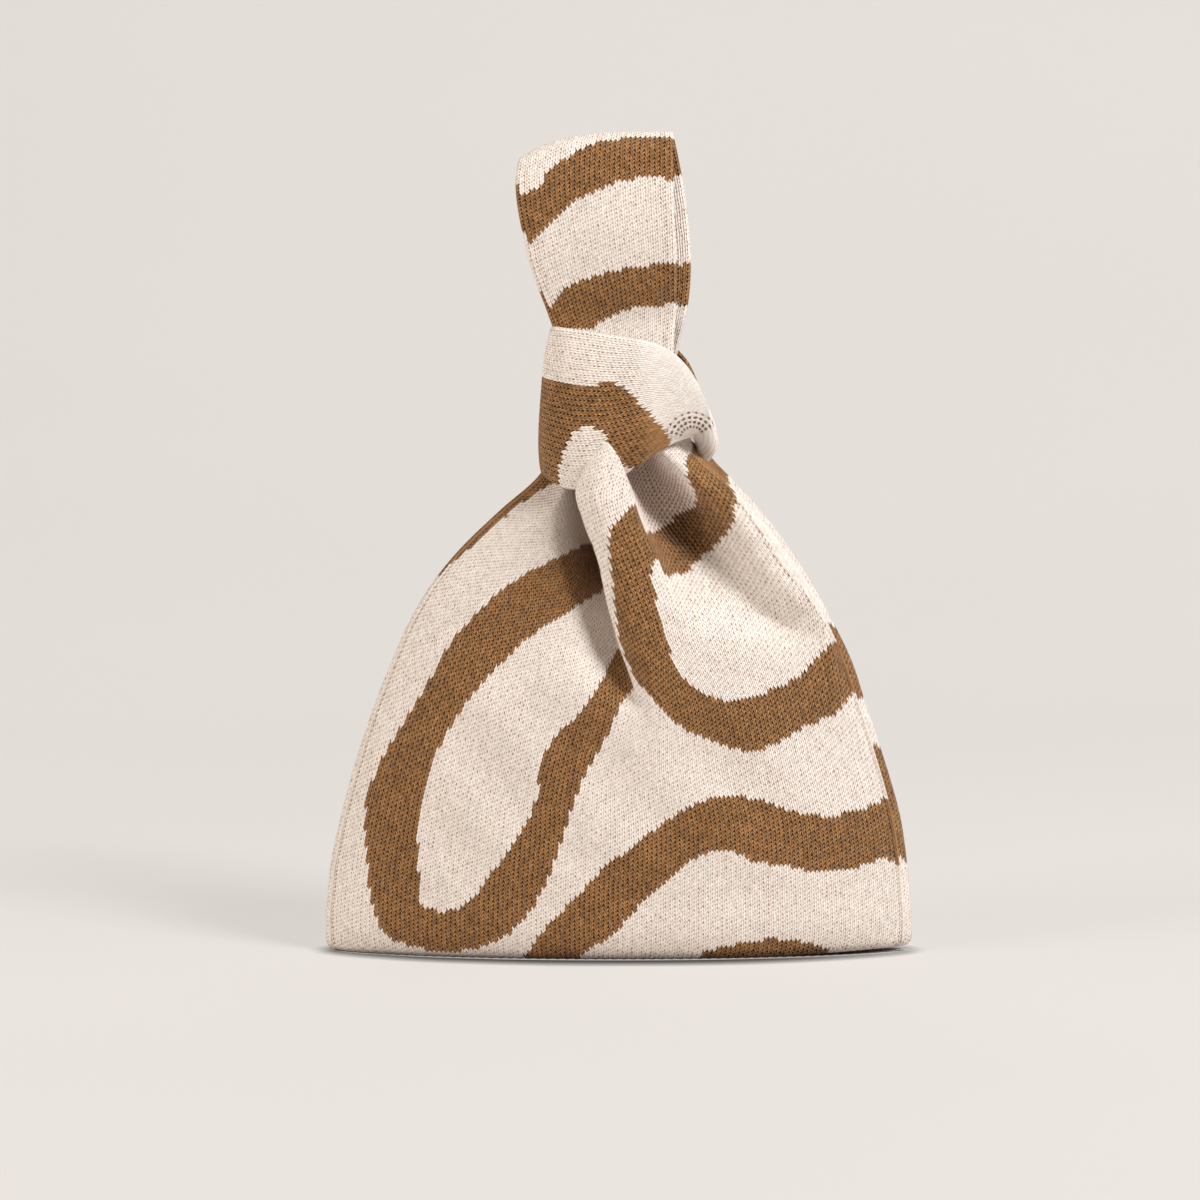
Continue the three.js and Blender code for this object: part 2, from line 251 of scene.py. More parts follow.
# Outlines of the sack as (height, distance from the middle) pairs.
LEFT_SIDE = [(0, -127.2), (22, -126.3), (39, -124.4), (57, -120.4), (74, -115.9), (92, -110.4)]
LEFT_SIDE += [(109, -104.5), (126, -97.6), (143, -90), (159, -80.4), (174, -68.2), (190.5, -51.1)]
LEFT_SIDE += [(206, -34), (220, -28), (240, -24)]
RIGHT_SIDE = [(0, 126.5), (22, 125.6), (39, 123.8), (57, 121), (74, 116.5), (92, 110.8), (109, 105)]
RIGHT_SIDE += [(126, 99.3), (143, 91), (161, 81), (178, 69.8), (195, 56), (203, 48.5), (212, 39.8)]
RIGHT_SIDE += [(222, 33), (240, 24)]
HALF_DEPTH = [(0, 25), (20, 28.5), (43, 31), (70, 32), (99, 31.6), (134, 29.9), (167, 27.4)]
HALF_DEPTH += [(195, 24.6), (240, 19)]


def through(keys, values, at):
    """A smooth curve through the values given at the keys, read off at other places."""
    keys, values = np.asarray(keys, float), np.asarray(values, float)
    slopes = np.gradient(values, keys, axis=0)
    at = np.clip(at, keys[0], keys[-1])
    n = np.clip(np.searchsorted(keys, at, side="right") - 1, 0, len(keys) - 2)
    span = keys[n + 1] - keys[n]
    t = (at - keys[n]) / span
    if values.ndim > 1:
        shape = np.shape(at) + (1,) * (values.ndim - 1)
        t, span = np.reshape(t, shape), np.reshape(span, shape)
    start = (1 + 2 * t) * (1 - t) ** 2 * values[n] + t * (1 - t) ** 2 * span * slopes[n]
    return start + t * t * (3 - 2 * t) * values[n + 1] + t * t * (t - 1) * span * slopes[n + 1]


def smooth_step(low, high, x):
    t = np.clip((x - low) / (high - low), 0, 1)
    return t * t * (3 - 2 * t)


def by_height(pairs, z):
    """A given outline of (height, distance) pairs, at height z."""
    heights, values = zip(*pairs)
    return through(heights, values, z)


def fold_inset(z):
    below = FOLD - np.minimum(z, FOLD)
    return FOLD - np.sqrt(FOLD**2 - below**2)


def left_edge(z):
    return by_height(LEFT_SIDE, z) + CORNER * fold_inset(z)


def right_edge(z):
    return by_height(RIGHT_SIDE, z) - CORNER * fold_inset(z)


def between_edges(share, z):
    """The distance from the middle, with share from -1 at the sack's left edge to 1."""
    left, right = left_edge(z), right_edge(z)
    return (left + right) / 2 + (right - left) / 2 * share


def lens_depth(share, z):
    """Half the sack's depth at height z, with the same share."""
    round_edge = np.clip(1 - np.abs(share) ** LENS, 0, 1) ** LENS_ROUND
    return (by_height(HALF_DEPTH, z) - fold_inset(z)) * round_edge


# The look of the stitches. Pairs are for the cream yarn and the brown.
PULL = 0.2  # how far stitches wander from their places, in columns
ROW_PULL = 0.3  # and in rows
PULL_SCALE = 0.8  # patches that wander alike, per column
LEAN = 0.5  # how far the holes between stitches lean, in legs per row
STAGGER = 0.25  # rise of a column of holes over the last one, in rows
HOLE_WIDTH = (0.4, 0.52)  # half a hole's width, in legs
HOLE_LENGTH = (0.32, 0.4)  # and half its length, in rows
HOLE_LEAST = 0.75  # size of the smallest hole
HOLE_CHANCE = 0.5  # what chance adds to it
HOLE_OPENED = 0.7  # and what open knit adds
HOLE_SHARPNESS = (1.4, 2.6)
# HOLE_DEPTH sets how dark the shade painted into a hole is, as well as how deep it sinks
HOLE_DEPTH = (0.58, 1.0)
HOLE_DEEPER = (0.3, 0.15)  # what chance adds to the depth
STITCH_HOLE = 0.55  # depth of the holes inside the stitches, as a share of those between columns
FAN_HOLE = 0.37  # size of the holes where the knit is stretched in a fan, in holes
FAN_WIDEST = 3.4  # the arc where they are widest
FAN_FADE = 3  # and how many arcs from there they close
FAN_LEAST = 0.5  # depth of the shallowest
FAN_SHARPNESS = 16
FAN_GROOVE = 0.28  # depth of the grooves that they lie in, and of the shade painted in them
# colour of the shade painted into the fan's holes and into the grooves
FAN_SHADE = linear(104, 66, 42)
RIB_SLANT = 0.6  # lean of the ribs in tight knit, in rows per column
RIB_DEPTH = 0.24
RIB_ONSET = 3  # how late they come up as the knit tightens
LEG_SHADES = (0.18, 0.6)  # how unlike in brightness the legs are
DRIFT_SHADES = (0.12, 0.4)  # and whole patches of the knit
DRIFT_SCALE = 0.06  # patches per column
APART = 500  # columns between random patterns that aren't alike
HOLE_RELIEF = 0.5  # how far holes and grooves sink in the relief
GROOVE_RELIEF = 2


def face_value(nodes, name):
    """A value that the mesh holds for each face."""
    node = nodes.new("ShaderNodeAttribute")
    node.attribute_name = name
    return node.outputs["Fac"]


def toned(nodes, links, colour, shade):
    """A colour made brighter or darker by a shade near 1."""
    node = nodes.new("ShaderNodeHueSaturation")
    links.new(shade, node.inputs["Value"])
    links.new(colour, node.inputs["Color"])
    return node.outputs["Color"]


def add_relief(material, shader, height, strength, depth):
    """Shades a surface as if raised by a height, up to a depth in millimetres."""
    nodes, links = material.node_tree.nodes, material.node_tree.links
    relief = nodes.new("ShaderNodeBump")
    relief.inputs["Strength"].default_value = strength
    relief.inputs["Distance"].default_value = depth * MM
    links.new(height, relief.inputs["Height"])
    links.new(relief.outputs["Normal"], shader.inputs["Normal"])


def knit_stitch_group():
    """The jacquard knit: plump stitches of two legs, with gaps between them where the darker
    yarn behind shows, darkened further by shade painted into the holes. The Knit map counts
    columns and rows, and the Fan map counts arcs of stretched holes and the holes along them."""
    group = bpy.data.node_groups.new("knit_stitch", "ShaderNodeTree")
    nodes, links = group.nodes, group.links
    group.interface.new_socket("Colour", in_out="OUTPUT", socket_type="NodeSocketColor")
    group.interface.new_socket("Height", in_out="OUTPUT", socket_type="NodeSocketFloat")
    result = nodes.new("NodeGroupOutput")
    brown = face_value(nodes, "brown")
    wide_and_shaded = face_value(nodes, "open_work")

    def calc(operation, *operands):
        return value_node(nodes, links, operation, *operands)

    def clamped(value):
        return calc("MINIMUM", calc("MAXIMUM", value, 0), 1)

    def squared(value):
        return calc("MULTIPLY", value, value)

    def share_of(amount, brown_amount):
        """An amount in the cream yarn, with another in the brown."""
        return calc("ADD", calc("MULTIPLY", brown, brown_amount - amount), amount)

    def chance(column, row):
        """A random value for the stitch, leg or hole at a column and row."""
        cell = nodes.new("ShaderNodeCombineXYZ")
        links.new(calc("FLOOR", column), cell.inputs[0])
        links.new(calc("FLOOR", row), cell.inputs[1])
        noise = nodes.new("ShaderNodeTexWhiteNoise")
        noise.noise_dimensions = "2D"
        links.new(cell.outputs[0], noise.inputs["Vector"])
        return noise.outputs["Value"]

    def map_place(name):
        node = nodes.new("ShaderNodeUVMap")
        node.uv_map = name
        return node.outputs["UV"]

    def patches(scale):
        noise = nodes.new("ShaderNodeTexNoise")
        noise.inputs["Scale"].default_value = scale
        noise.inputs["Detail"].default_value = 2
        links.new(knit_map, noise.inputs["Vector"])
        return noise.outputs

    def axes(place):
        node = nodes.new("ShaderNodeSeparateXYZ")
        links.new(place, node.inputs[0])
        return node.outputs["X"], node.outputs["Y"]

    def wandering(place):
        """The axes of a place on a map, moved as its stitches wander."""
        moved = nodes.new("ShaderNodeVectorMath")
        links.new(place, moved.inputs[0])
        links.new(pull.outputs[0], moved.inputs[1])
        return axes(moved.outputs[0])

    def groove(place):
        """1 halfway between whole numbers, falling to 0 at them."""
        return squared(calc("MULTIPLY", calc("PINGPONG", place, 0.5), 2))

    knit_map, fan_map = map_place("Knit"), map_place("Fan")
    pull = nodes.new("ShaderNodeVectorMath")
    pull.operation = "MULTIPLY_ADD"
    pull.inputs[1].default_value = (2 * PULL, 2 * ROW_PULL, 0)
    pull.inputs[2].default_value = (-PULL, -ROW_PULL, 0)
    links.new(patches(PULL_SCALE)["Color"], pull.inputs[0])

    # The holes between the columns of stitches and inside the stitches.
    wale, course = wandering(knit_map)
    legs = calc("MULTIPLY", wale, 2)
    column = calc("FLOOR", calc("ADD", legs, 0.5))
    in_stitch = calc("MODULO", column, 2)
    row = calc("ADD", course, calc("MULTIPLY", column, STAGGER))
    ahead = calc("SUBTRACT", calc("FRACT", row), 0.5)
    aside = calc("ADD", calc("SUBTRACT", legs, column), calc("MULTIPLY", ahead, LEAN))
    hole_wide = squared(calc("DIVIDE", aside, share_of(*HOLE_WIDTH)))
    hole_long = squared(calc("DIVIDE", ahead, share_of(*HOLE_LENGTH)))
    hole_chance = chance(column, row)
    reach = calc("ADD", calc("MULTIPLY", hole_chance, HOLE_CHANCE), HOLE_LEAST)
    reach = calc("ADD", reach, calc("MULTIPLY", wide_and_shaded, HOLE_OPENED))
    gap = calc("SUBTRACT", reach, calc("ADD", hole_wide, hole_long))
    gap = clamped(calc("MULTIPLY", gap, share_of(*HOLE_SHARPNESS)))
    deeper = calc("MULTIPLY", squared(hole_chance), share_of(*HOLE_DEEPER))
    # open knit also deepens the holes' painted shade, which darkens the recesses under the band
    depth = calc("ADD", calc("ADD", share_of(*HOLE_DEPTH), deeper), wide_and_shaded)
    gap = calc("MULTIPLY", gap, clamped(depth))
    gap = calc("MULTIPLY", gap, calc("ADD", calc("MULTIPLY", in_stitch, STITCH_HOLE - 1), 1))

    # The stretched holes of a fan, and the grooves along its arcs and between the ribs, with shade
    # painted into both.
    arc, turn = wandering(fan_map)
    off_arc, off_turn = (calc("SUBTRACT", calc("FRACT", place), 0.5) for place in (arc, turn))
    from_hole = calc("ADD", squared(off_arc), squared(off_turn))
    from_widest = calc("DIVIDE", calc("SUBTRACT", arc, FAN_WIDEST), FAN_FADE)
    fan_size = calc("SUBTRACT", 1, squared(from_widest))
    fan_hole = calc("SUBTRACT", calc("MULTIPLY", fan_size, FAN_HOLE**2), from_hole)
    fan_hole = clamped(calc("MULTIPLY", fan_hole, FAN_SHARPNESS))
    fan_depth = calc("ADD", calc("MULTIPLY", chance(arc, turn), 1 - FAN_LEAST), FAN_LEAST)
    fan_hole = calc("MULTIPLY", fan_hole, fan_depth)
    plain_wale, plain_course = axes(knit_map)
    slanted = calc("SUBTRACT", plain_course, calc("MULTIPLY", plain_wale, RIB_SLANT))
    tight = calc("POWER", calc("MAXIMUM", calc("MULTIPLY", wide_and_shaded, -1), 0), RIB_ONSET)
    rib_grooves = calc("MULTIPLY", calc("MULTIPLY", groove(slanted), tight), RIB_DEPTH)
    fan_grooves = calc("MULTIPLY", groove(axes(fan_map)[0]), FAN_GROOVE)
    grooves = calc("MAXIMUM", rib_grooves, fan_grooves)

    # The colours, uneven from leg to leg and from patch to patch, and the relief.
    gap = calc("MAXIMUM", gap, fan_hole)
    yarn = mixed(nodes, links, brown, CREAM, BROWN)
    # the colour in the holes: the yarn behind, darkened by painted shade
    behind = mixed(nodes, links, brown, CREAM_GAP_AND_SHADE, BROWN_GAP_AND_SHADE)
    colour = mixed(nodes, links, gap, yarn, behind)
    # Shade painted into the fan's holes and into the grooves.
    colour = mixed(nodes, links, calc("MAXIMUM", fan_hole, grooves), colour, FAN_SHADE)
    leg_chance = calc("SUBTRACT", chance(calc("ADD", legs, APART), course), 0.5)
    drifted = calc("SUBTRACT", patches(DRIFT_SCALE)["Fac"], 0.5)
    shade = calc("ADD", 1, calc("MULTIPLY", leg_chance, share_of(*LEG_SHADES)))
    shade = calc("ADD", shade, calc("MULTIPLY", drifted, share_of(*DRIFT_SHADES)))
    links.new(toned(nodes, links, colour, shade), result.inputs["Colour"])
    plump = calc("SINE", calc("MULTIPLY", calc("FRACT", legs), math.pi))
    sunk = calc("ADD", calc("MULTIPLY", gap, HOLE_RELIEF), calc("MULTIPLY", grooves, GROOVE_RELIEF))
    links.new(calc("SUBTRACT", plump, sunk), result.inputs["Height"])
    return group


knit_stitch = knit_stitch_group()


def set_bloom(shader):
    """Makes a surface dull, with the faint bloom of wool."""
    shader.inputs["Specular IOR Level"].default_value = 0.15
    shader.inputs["Sheen Weight"].default_value = 0.12


def knit_look(name):
    material, shader = new_material(name, roughness=0.95)
    stitch = material.node_tree.nodes.new("ShaderNodeGroup")
    stitch.node_tree = knit_stitch
    material.node_tree.links.new(stitch.outputs["Colour"], shader.inputs["Base Color"])
    add_relief(material, shader, stitch.outputs["Height"], strength=0.6, depth=0.5)
    set_bloom(shader)
    shader.inputs["Sheen Roughness"].default_value = 0.6
    return material


panel_knit = knit_look("panel_knit")


def grid_object(name, places, faces, masks, maps, material):
    """An object from grid places, its faces, masks per face and maps per corner, by name."""
    mesh = bpy.data.meshes.new(name)
    mesh.from_pydata(places * MM, [], faces)
    for label, shares in masks.items():
        layer = mesh.attributes.new(label, "FLOAT", "FACE")
        layer.data.foreach_set("value", np.asarray(shares, float))
    corners = np.empty(len(mesh.loops), int)
    mesh.loops.foreach_get("vertex_index", corners)
    for label, spots in maps.items():
        layer = mesh.uv_layers.new(name=label)
        layer.data.foreach_set("uv", spots(corners).ravel())
    mesh.polygons.foreach_set("use_smooth", np.ones(len(mesh.polygons), bool))
    mesh.materials.append(material)
    obj = bpy.data.objects.new(name, mesh)
    scene.collection.objects.link(obj)
    return obj


def no_openings(u, v, points):
    return np.zeros(u.shape)


def knitted(
    name, wales, courses, place, is_brown, material, tube=False, openings=no_openings, fan=None
):
    """A knitted sheet, or a flat tube, of wales by courses. Each stitch is two slanting faces
    that meet in a point. place(u, v) gives points for column u and row v, and
    is_brown(u, v, points) says which stitches are knitted in brown, openings how much wider
    the holes beside them are, and fan, if any, counts stretched holes outward and round."""
    columns = np.arange(2 * wales + 1) / 2
    rows = np.arange(courses + 1)
    u, v = np.meshgrid(columns, rows, indexing="ij")
    drop = SLANT * (np.arange(2 * wales + 1) % 2)[:, None]
    points = place(u, np.clip(v - drop, 0, courses))
    height = courses + 1
    first = (np.arange(2 * wales)[:, None] * height + np.arange(courses)).ravel()
    faces = np.stack([first, first + height, first + height + 1, first + 1], axis=1)
    middle = points[1::2, :-1] * 0.5 + points[1::2, 1:] * 0.5
    stitch_u, stitch_v = u[1::2, :-1], v[1::2, :-1] + 0.5
    brown = np.repeat(is_brown(stitch_u, stitch_v, middle), 2, axis=0)
    face_u, face_v = u[:-1, :-1] + 0.25, v[:-1, :-1] + 0.5
    face_points = (points[:-1, :-1] + points[1:, :-1] + points[:-1, 1:] + points[1:, 1:]) / 4
    masks = {"brown": brown.ravel(), "open_work": openings(face_u, face_v, face_points).ravel()}
    ends = []
    if tube:
        last = 2 * wales * height
        faces = np.where(faces >= last, faces - last, faces)
        ends = [list(range((2 * wales - 1) * height, -1, -height))]
        ends.append(list(range(courses, last, height)))
        masks = {label: np.concatenate([shares, [0, 0]]) for label, shares in masks.items()}
    spots = np.stack([u.ravel(), v.ravel()], axis=1)
    total = np.array([wales, courses], float)

    def counted(corners):
        found = spots[corners].copy()
        if tube:
            quads = found[: 4 * len(faces)].reshape(-1, 4, 2)
            wrapped = quads[:, :, 0].max(axis=1) - quads[:, :, 0].min(axis=1) > 1
            quads[wrapped] = np.where(quads[wrapped] == 0, [[[wales, 0]]], quads[wrapped])
        return found

    maps = {"OFBake": lambda corners: counted(corners) / total, "Knit": counted}
    flat_points = points.reshape(-1, 3)
    if tube:
        flat_points = flat_points[: 2 * wales * height]
    if fan:
        fan_spots = fan(u, v, points).reshape(-1, 2)
        maps["Fan"] = lambda corners: fan_spots[corners]
    return grid_object(name, flat_points, faces.tolist() + ends, masks, maps, material)


BASE_WALES = 61
BASE_COURSES = 24
BASE_LIFT = 0.3  # height of the knit over the floor
BASE_STRIPES = [(-80, -0.6, 26), (62, 0.4, 24)]  # middle, slant and half width


def base_place(u, v):
    share = 2 * u / BASE_WALES - 1
    across = 2 * v / BASE_COURSES - 1
    floor = np.zeros_like(u)
    y = -across * lens_depth(share, floor)
    return np.stack([between_edges(share, floor), y, floor + BASE_LIFT], axis=-1)


def base_brown(u, v, points):
    x, y = points[..., 0], points[..., 1]
    found = [np.abs(x - middle - slant * y) < half for middle, slant, half in BASE_STRIPES]
    return np.any(found, axis=0)


base = knitted("base_knit", BASE_WALES, BASE_COURSES, base_place, base_brown, panel_knit)
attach(base, "sack")
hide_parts("base_panel")


# The front panel: a knitted sheet that leans back from the base to the knot. The long strap
# starts from it in one rounded pleat, tucked deeply on its left and hollow on its right.
FRONT_WALES = 126
LEFT_WALES = 62  # columns from the left seam to the valley
FRONT_COURSES = 134
FRONT_TOP = FRONT_COURSES * COURSE
LEFT_SEAM = 3  # distance of the seams from the side edges, along the knit
RIGHT_SEAM = 6
NEAR_EDGE = 2.5
NATURAL_WALE = 1.93  # width of a column that isn't crowded

# Level sections of the panel. Below, they are plain, and their points are shares of its width.
# Above, they run from the left edge over cheek, lip, valley, tuck, the pleat's left fold, crest
# and right fold, flank, hollow, ridge and cheek to the right edge.
PLAIN_SHARES = [-1, -0.97, -0.8, -0.45, -0.12, -0.02, 0.02, 0.06]
PLAIN_SHARES += [0.13, 0.24, 0.33, 0.5, 0.68, 0.85, 0.97, 1]
PLAIN_HEIGHTS = [0, 1.2, 3, 6, 30, 55, 82]
LIP, VALLEY, LEFT_FOLD, RIGHT_FOLD = 4, 5, 7, 9  # their places in a section
PLEATED = {
    112: [(-88, -12), (-50, -26), (-8, -30.5), (4, -30), (6, -30.6), (7, -31.5)]
    + [(12, -33.5), (28, -32.5), (38, -30.5), (60, -26), (78, -18.5), (93, -11)],
    138: [(-76, -12.5), (-45, -21.5), (-17, -23.5), (0, -14), (3, -17), (-1.4, -26.5)]
    + [(5.5, -33), (21.5, -31.5), (46, -26), (72, -15.5), (82, -13.5), (88, -12.5)],
    155: [(-67, -12), (-42, -19.5), (-22, -20.5), (-2, -7), (1, -12), (-6, -25.5)]
    + [(1.5, -32.8), (18, -31), (30, -22), (52, -13), (77, -19), (82, -15)],
    172: [(-56, -10.5), (-40, -17), (-27, -18.5), (-6, -3), (-2, -9), (-9.8, -25)]
    + [(-2.5, -32.5), (13.5, -30), (20, -17), (31, -8.5), (65, -19), (70.5, -15)],
    188: [(-43, -8), (-36, -13), (-29, -16), (-10, -1), (-5, -8), (-15.6, -25.5)]
    + [(-8, -32.5), (6.5, -29.5), (11.5, -10), (18, -3.5), (53, -19.5), (59, -14)],
    201: [(-29.5, -7), (-27.5, -10.5), (-24, -13), (-12, -2), (-7, -8), (-18.5, -26.5)]
    + [(-11, -32.5), (1.5, -30), (6.5, -4), (11.5, 3), (37, -20), (47, -13.5)],
    210: [(-25.5, -8), (-24, -10.5), (-21, -12), (-12, -3), (-8, -10), (-15, -26.5)]
    + [(-9, -31), (-1.5, -29), (2.5, 0), (6.5, 5), (25, -19.5), (36, -13.5)],
    219.5: [(-24, -8), (-22, -10), (-19, -11), (-11.5, -4), (-9.5, -11), (-10, -23.5)]
    + [(-6.5, -27.8), (-2.5, -26.2), (1, -2), (4, 3), (16, -18), (26, -12)],
    240: [(-20, -8), (-18, -10), (-16, -11), (-11, -4), (-9, -8), (-8, -14)]
    + [(-6, -14.5), (-4, -14), (2, -8), (9, -14), (13, -12), (18, -10)],
}
ROW_RISE = 0.35  # how steeply the rows climb away from the pleat
RISE_Z = (50, 190)  # and the heights over which this comes in
SOFT_TOP = 195  # above this the rows beside the pleat close up under the band
LEFT_TOP = 226
RIGHT_TOP = 232
PLEAT_SOFT_TOP = 212  # and those of the pleat itself
PLEAT_TOP = 221
PLEAT_RIM = 3  # width over which the rows beside the pleat pass into its own
EDGE_LINE = [(130, 0), (142, 8), (157, 15.5), (186, 15), (200, 12.5), (240, 8)]  # height, inset
EDGE_LINE_HALF = 0.8  # half the width of this line, along which the right edge is drawn up
EDGE_TIGHTNESS = -0.35  # of the knit between it and the edge
SEAM_OPENING = 0.8
RECESS_SHADE_OPENING = 1.1  # drawn in under the band: holes widened and darkened there as painted shade
RECESS_Y = (-18, -6)  # which comes in over these depths
RECESS_Z = (150, 185)  # and these heights
RECESS_X = (26, 40)  # and goes out over these distances from the middle
SLACK = 0.7  # height of the soft folds in the lower part
SLACK_PITCH = 50
SLACK_START = 39
SLACK_IN_Z = (15, 50)  # heights over which they come in
SLACK_OUT_Z = (105, 145)  # and go out
SLACK_OUT_X = (60, 105)  # as they do towards the sides
LIFT_IN_X = (50, 125)  # the right corner's rise comes in over this width
LIFT_OUT_Z = (0, 25)  # and goes out over this height

# The stripe, as closed outlines on an upright plane through the bag's middle, seen by the eye.
BIG_U = [(-3, 179), (-13, 176), (-26, 170), (-40, 163), (-55, 152), (-71, 135), (-84, 113), (-97, 92)]
BIG_U += [(-107, 72), (-110, 55), (-109, 37), (-107, 20), (-101, 6), (-86, 0), (-69, -1), (-53, 3)]
BIG_U += [(-41, 13), (-32, 28), (-26, 45), (-20, 63), (-15, 76), (-5, 94), (2, 109), (11, 118)]
BIG_U += [(9, 139), (-1, 130), (-9, 114), (-19, 101), (-29, 91), (-34, 79), (-36, 66), (-40, 55)]
BIG_U += [(-53, 36), (-62, 24), (-71, 17), (-82, 17), (-86, 21), (-87, 39), (-87, 55), (-84, 72)]
BIG_U += [(-78, 87), (-66, 107), (-51, 124), (-41, 134), (-26, 144), (-8, 155), (1, 161)]
LOW_WAVE = [(-50, -16), (-40, -2), (-33, 8), (-19, 22), (-8, 34), (2, 42), (15, 52), (30, 62)]
LOW_WAVE += [(45, 66), (60, 65), (73, 60), (90, 58), (108, 62), (116, 66), (129, 69), (129, 37)]
LOW_WAVE += [(114, 39), (101, 35), (86, 33), (71, 36), (58, 38), (45, 43), (32, 39), (22, 31)]
LOW_WAVE += [(9, 19), (0, 9), (-13, -1), (-30, -13)]
HOOK = [(19, 200), (9, 194), (2, 188), (-3, 182), (-4, 169), (-2, 152), (0, 135), (6, 120), (15, 108)]
HOOK += [(26, 97), (40, 90), (54, 86), (67, 89), (79, 96), (92, 102), (99, 110), (103, 118), (113, 126)]
HOOK += [(105, 143), (95, 136), (88, 130), (79, 120), (71, 115), (58, 110), (47, 108), (34, 112)]
HOOK += [(26, 120), (19, 137), (15, 156), (14, 167), (22, 172)]
HOOK_TOP_RIGHT = 161  # right of the pleat the hook is only seen below this
FLANK = 5  # width of the pleat's right flank
ARC = [(30, 229), (37, 215), (47, 201), (50, 195), (48, 182), (39, 173), (29, 164), (22, 162)]
ARC += [(11, 164), (4, 178), (15, 181), (26, 188), (32, 191), (33, 196), (30, 203), (28.5, 210)]
ARC += [(31, 217), (30, 226)]
FOOT_ARCH = [(22, -16), (31, -3), (43, 0), (64, 4), (78, 3), (90, -1), (100, -16)]
SHOULDER = [(-82, 158), (-77, 163.5), (-68, 170.5), (-60, 178), (-51, 185.5), (-42.5, 193)]
SHOULDER += [(-34, 198.5), (-27, 203), (-18, 214), (-60, 216), (-98, 176)]
OUTLINE_STEP = 0.2  # fineness of the smooth outlines, in points


def seen(points):
    """Where points appear on the upright plane through the bag's middle, from the eye."""
    t = EYE[1] / (EYE[1] - points[..., 1])
    return EYE[0] + t * (points[..., 0] - EYE[0]), EYE[2] + t * (points[..., 2] - EYE[2])


def inside(outline, x, z):
    """Which places lie inside a closed outline, drawn smoothly through its points."""
    ring = np.array(outline + outline[:3], float)
    ring = np.concatenate([[outline[-1]], ring])
    dense = through(np.arange(len(ring)), ring, np.arange(1, len(outline) + 1, OUTLINE_STEP))
    odd = np.zeros(x.shape, bool)
    for (x0, z0), (x1, z1) in zip(dense, np.roll(dense, -1, axis=0)):
        if z0 != z1:
            odd ^= ((z0 > z) != (z1 > z)) & (x < x0 + (z - z0) * (x1 - x0) / (z1 - z0))
    return odd


def plain_section(z):
    shares = np.array(PLAIN_SHARES)
    return np.stack([between_edges(shares, z), -lens_depth(shares, z)], axis=1)


def pleated_section(z):
    left, right = left_edge(z), right_edge(z)
    start = [(left, 0), (left + NEAR_EDGE, -NEAR_EDGE - 1)]
    return np.array(start + PLEATED[z] + [(right - NEAR_EDGE, -NEAR_EDGE - 1), (right, 0)])


section_heights = PLAIN_HEIGHTS + list(PLEATED)
sections = [plain_section(z) for z in PLAIN_HEIGHTS] + [pleated_section(z) for z in PLEATED]
KEPT_APART = 1e-6  # least distance between two corners of a path


def distances(points):
    """How far each point of a line lies along it."""
    return np.concatenate([[0], np.cumsum(np.linalg.norm(np.diff(points, axis=0), axis=1))])


def measured_path(corners, steps):
    """A smooth path through corner points, with so many steps from one to the next, and the
    distances along it."""
    numbers = np.arange(len(corners))
    last = len(corners) - 1
    chords = distances(corners) + KEPT_APART * numbers
    at = np.interp(np.linspace(0, last, last * steps + 1), numbers, chords)
    path = through(chords, corners, at)
    return path, distances(path)


def on_path(spots, far, path):
    """Each coordinate of a path at spots along it, where far holds the distances."""
    return [np.interp(spots, far, coordinate) for coordinate in path.T]


def spread(count, start, end):
    """Distances of half columns, for count columns from start to end: at their natural width
    from the start, with those that don't fit crowded together at the end."""
    width = abs(end - start)
    crowd = max(1.0, count * NATURAL_WALE / width)
    share = np.arange(2 * count + 1) / (2 * count)
    return start + (end - start) * (1 - (1 - share) ** crowd)


PATH_STEPS = 10
LEVELS = 170  # heights at which the sections are worked out
LEVEL_SPARE = 2  # how far they go on above the knit
front_levels = np.linspace(0, FRONT_TOP + LEVEL_SPARE, LEVELS)
front_paths = []
front_x, front_y, front_far, front_folds, front_marks = [], [], [], [], []
for level in front_levels:
    corners = through(section_heights, sections, np.array(level))
    corners[0] = (left_edge(level), 0)
    corners[-1] = (right_edge(level), 0)
    path, far = measured_path(corners, PATH_STEPS)
    front_paths.append((path, far))
    valley = far[VALLEY * PATH_STEPS]
    left_part = spread(LEFT_WALES, LEFT_SEAM, valley)
    right_part = spread(FRONT_WALES - LEFT_WALES, far[-1] - RIGHT_SEAM, valley)[::-1]
    columns = np.concatenate([left_part, right_part[1:]])
    x, y = on_path(columns, far, path)
    front_far.append(columns)
    front_x.append(x)
    front_y.append(y)
    front_folds.append([far[LEFT_FOLD * PATH_STEPS], far[RIGHT_FOLD * PATH_STEPS]])
    front_marks.append([corners[LIP, 0], corners[RIGHT_FOLD, 0]])
front_x, front_y, front_far = np.array(front_x), np.array(front_y), np.array(front_far)
front_folds, front_marks = np.array(front_folds), np.array(front_marks)


def at_level(table, z):
    """Reads a table with a row per level and a column per half wale at each column's heights."""
    return np.stack([np.interp(z[k], front_levels, table[:, k]) for k in range(len(z))])


def closed_up(z, start, top):
    """Heights whose rows crowd together above a start and stay below a top."""
    room = top - start
    return np.where(z < start, z, start + room * np.tanh((z - start) / room))


def corner_lift(x, z):
    return RIGHT_LIFT * smooth_step(*LIFT_IN_X, x) * (1 - smooth_step(*LIFT_OUT_Z, z))


def slack(x, z):
    """Soft slanting folds in the loose lower part of the front."""
    wave = np.sin(2 * np.pi * (x + z - SLACK_START) / SLACK_PITCH)
    low_part = smooth_step(*SLACK_IN_Z, z) * (1 - smooth_step(*SLACK_OUT_Z, z))
    return SLACK * wave * low_part * (1 - smooth_step(*SLACK_OUT_X, np.abs(x)))


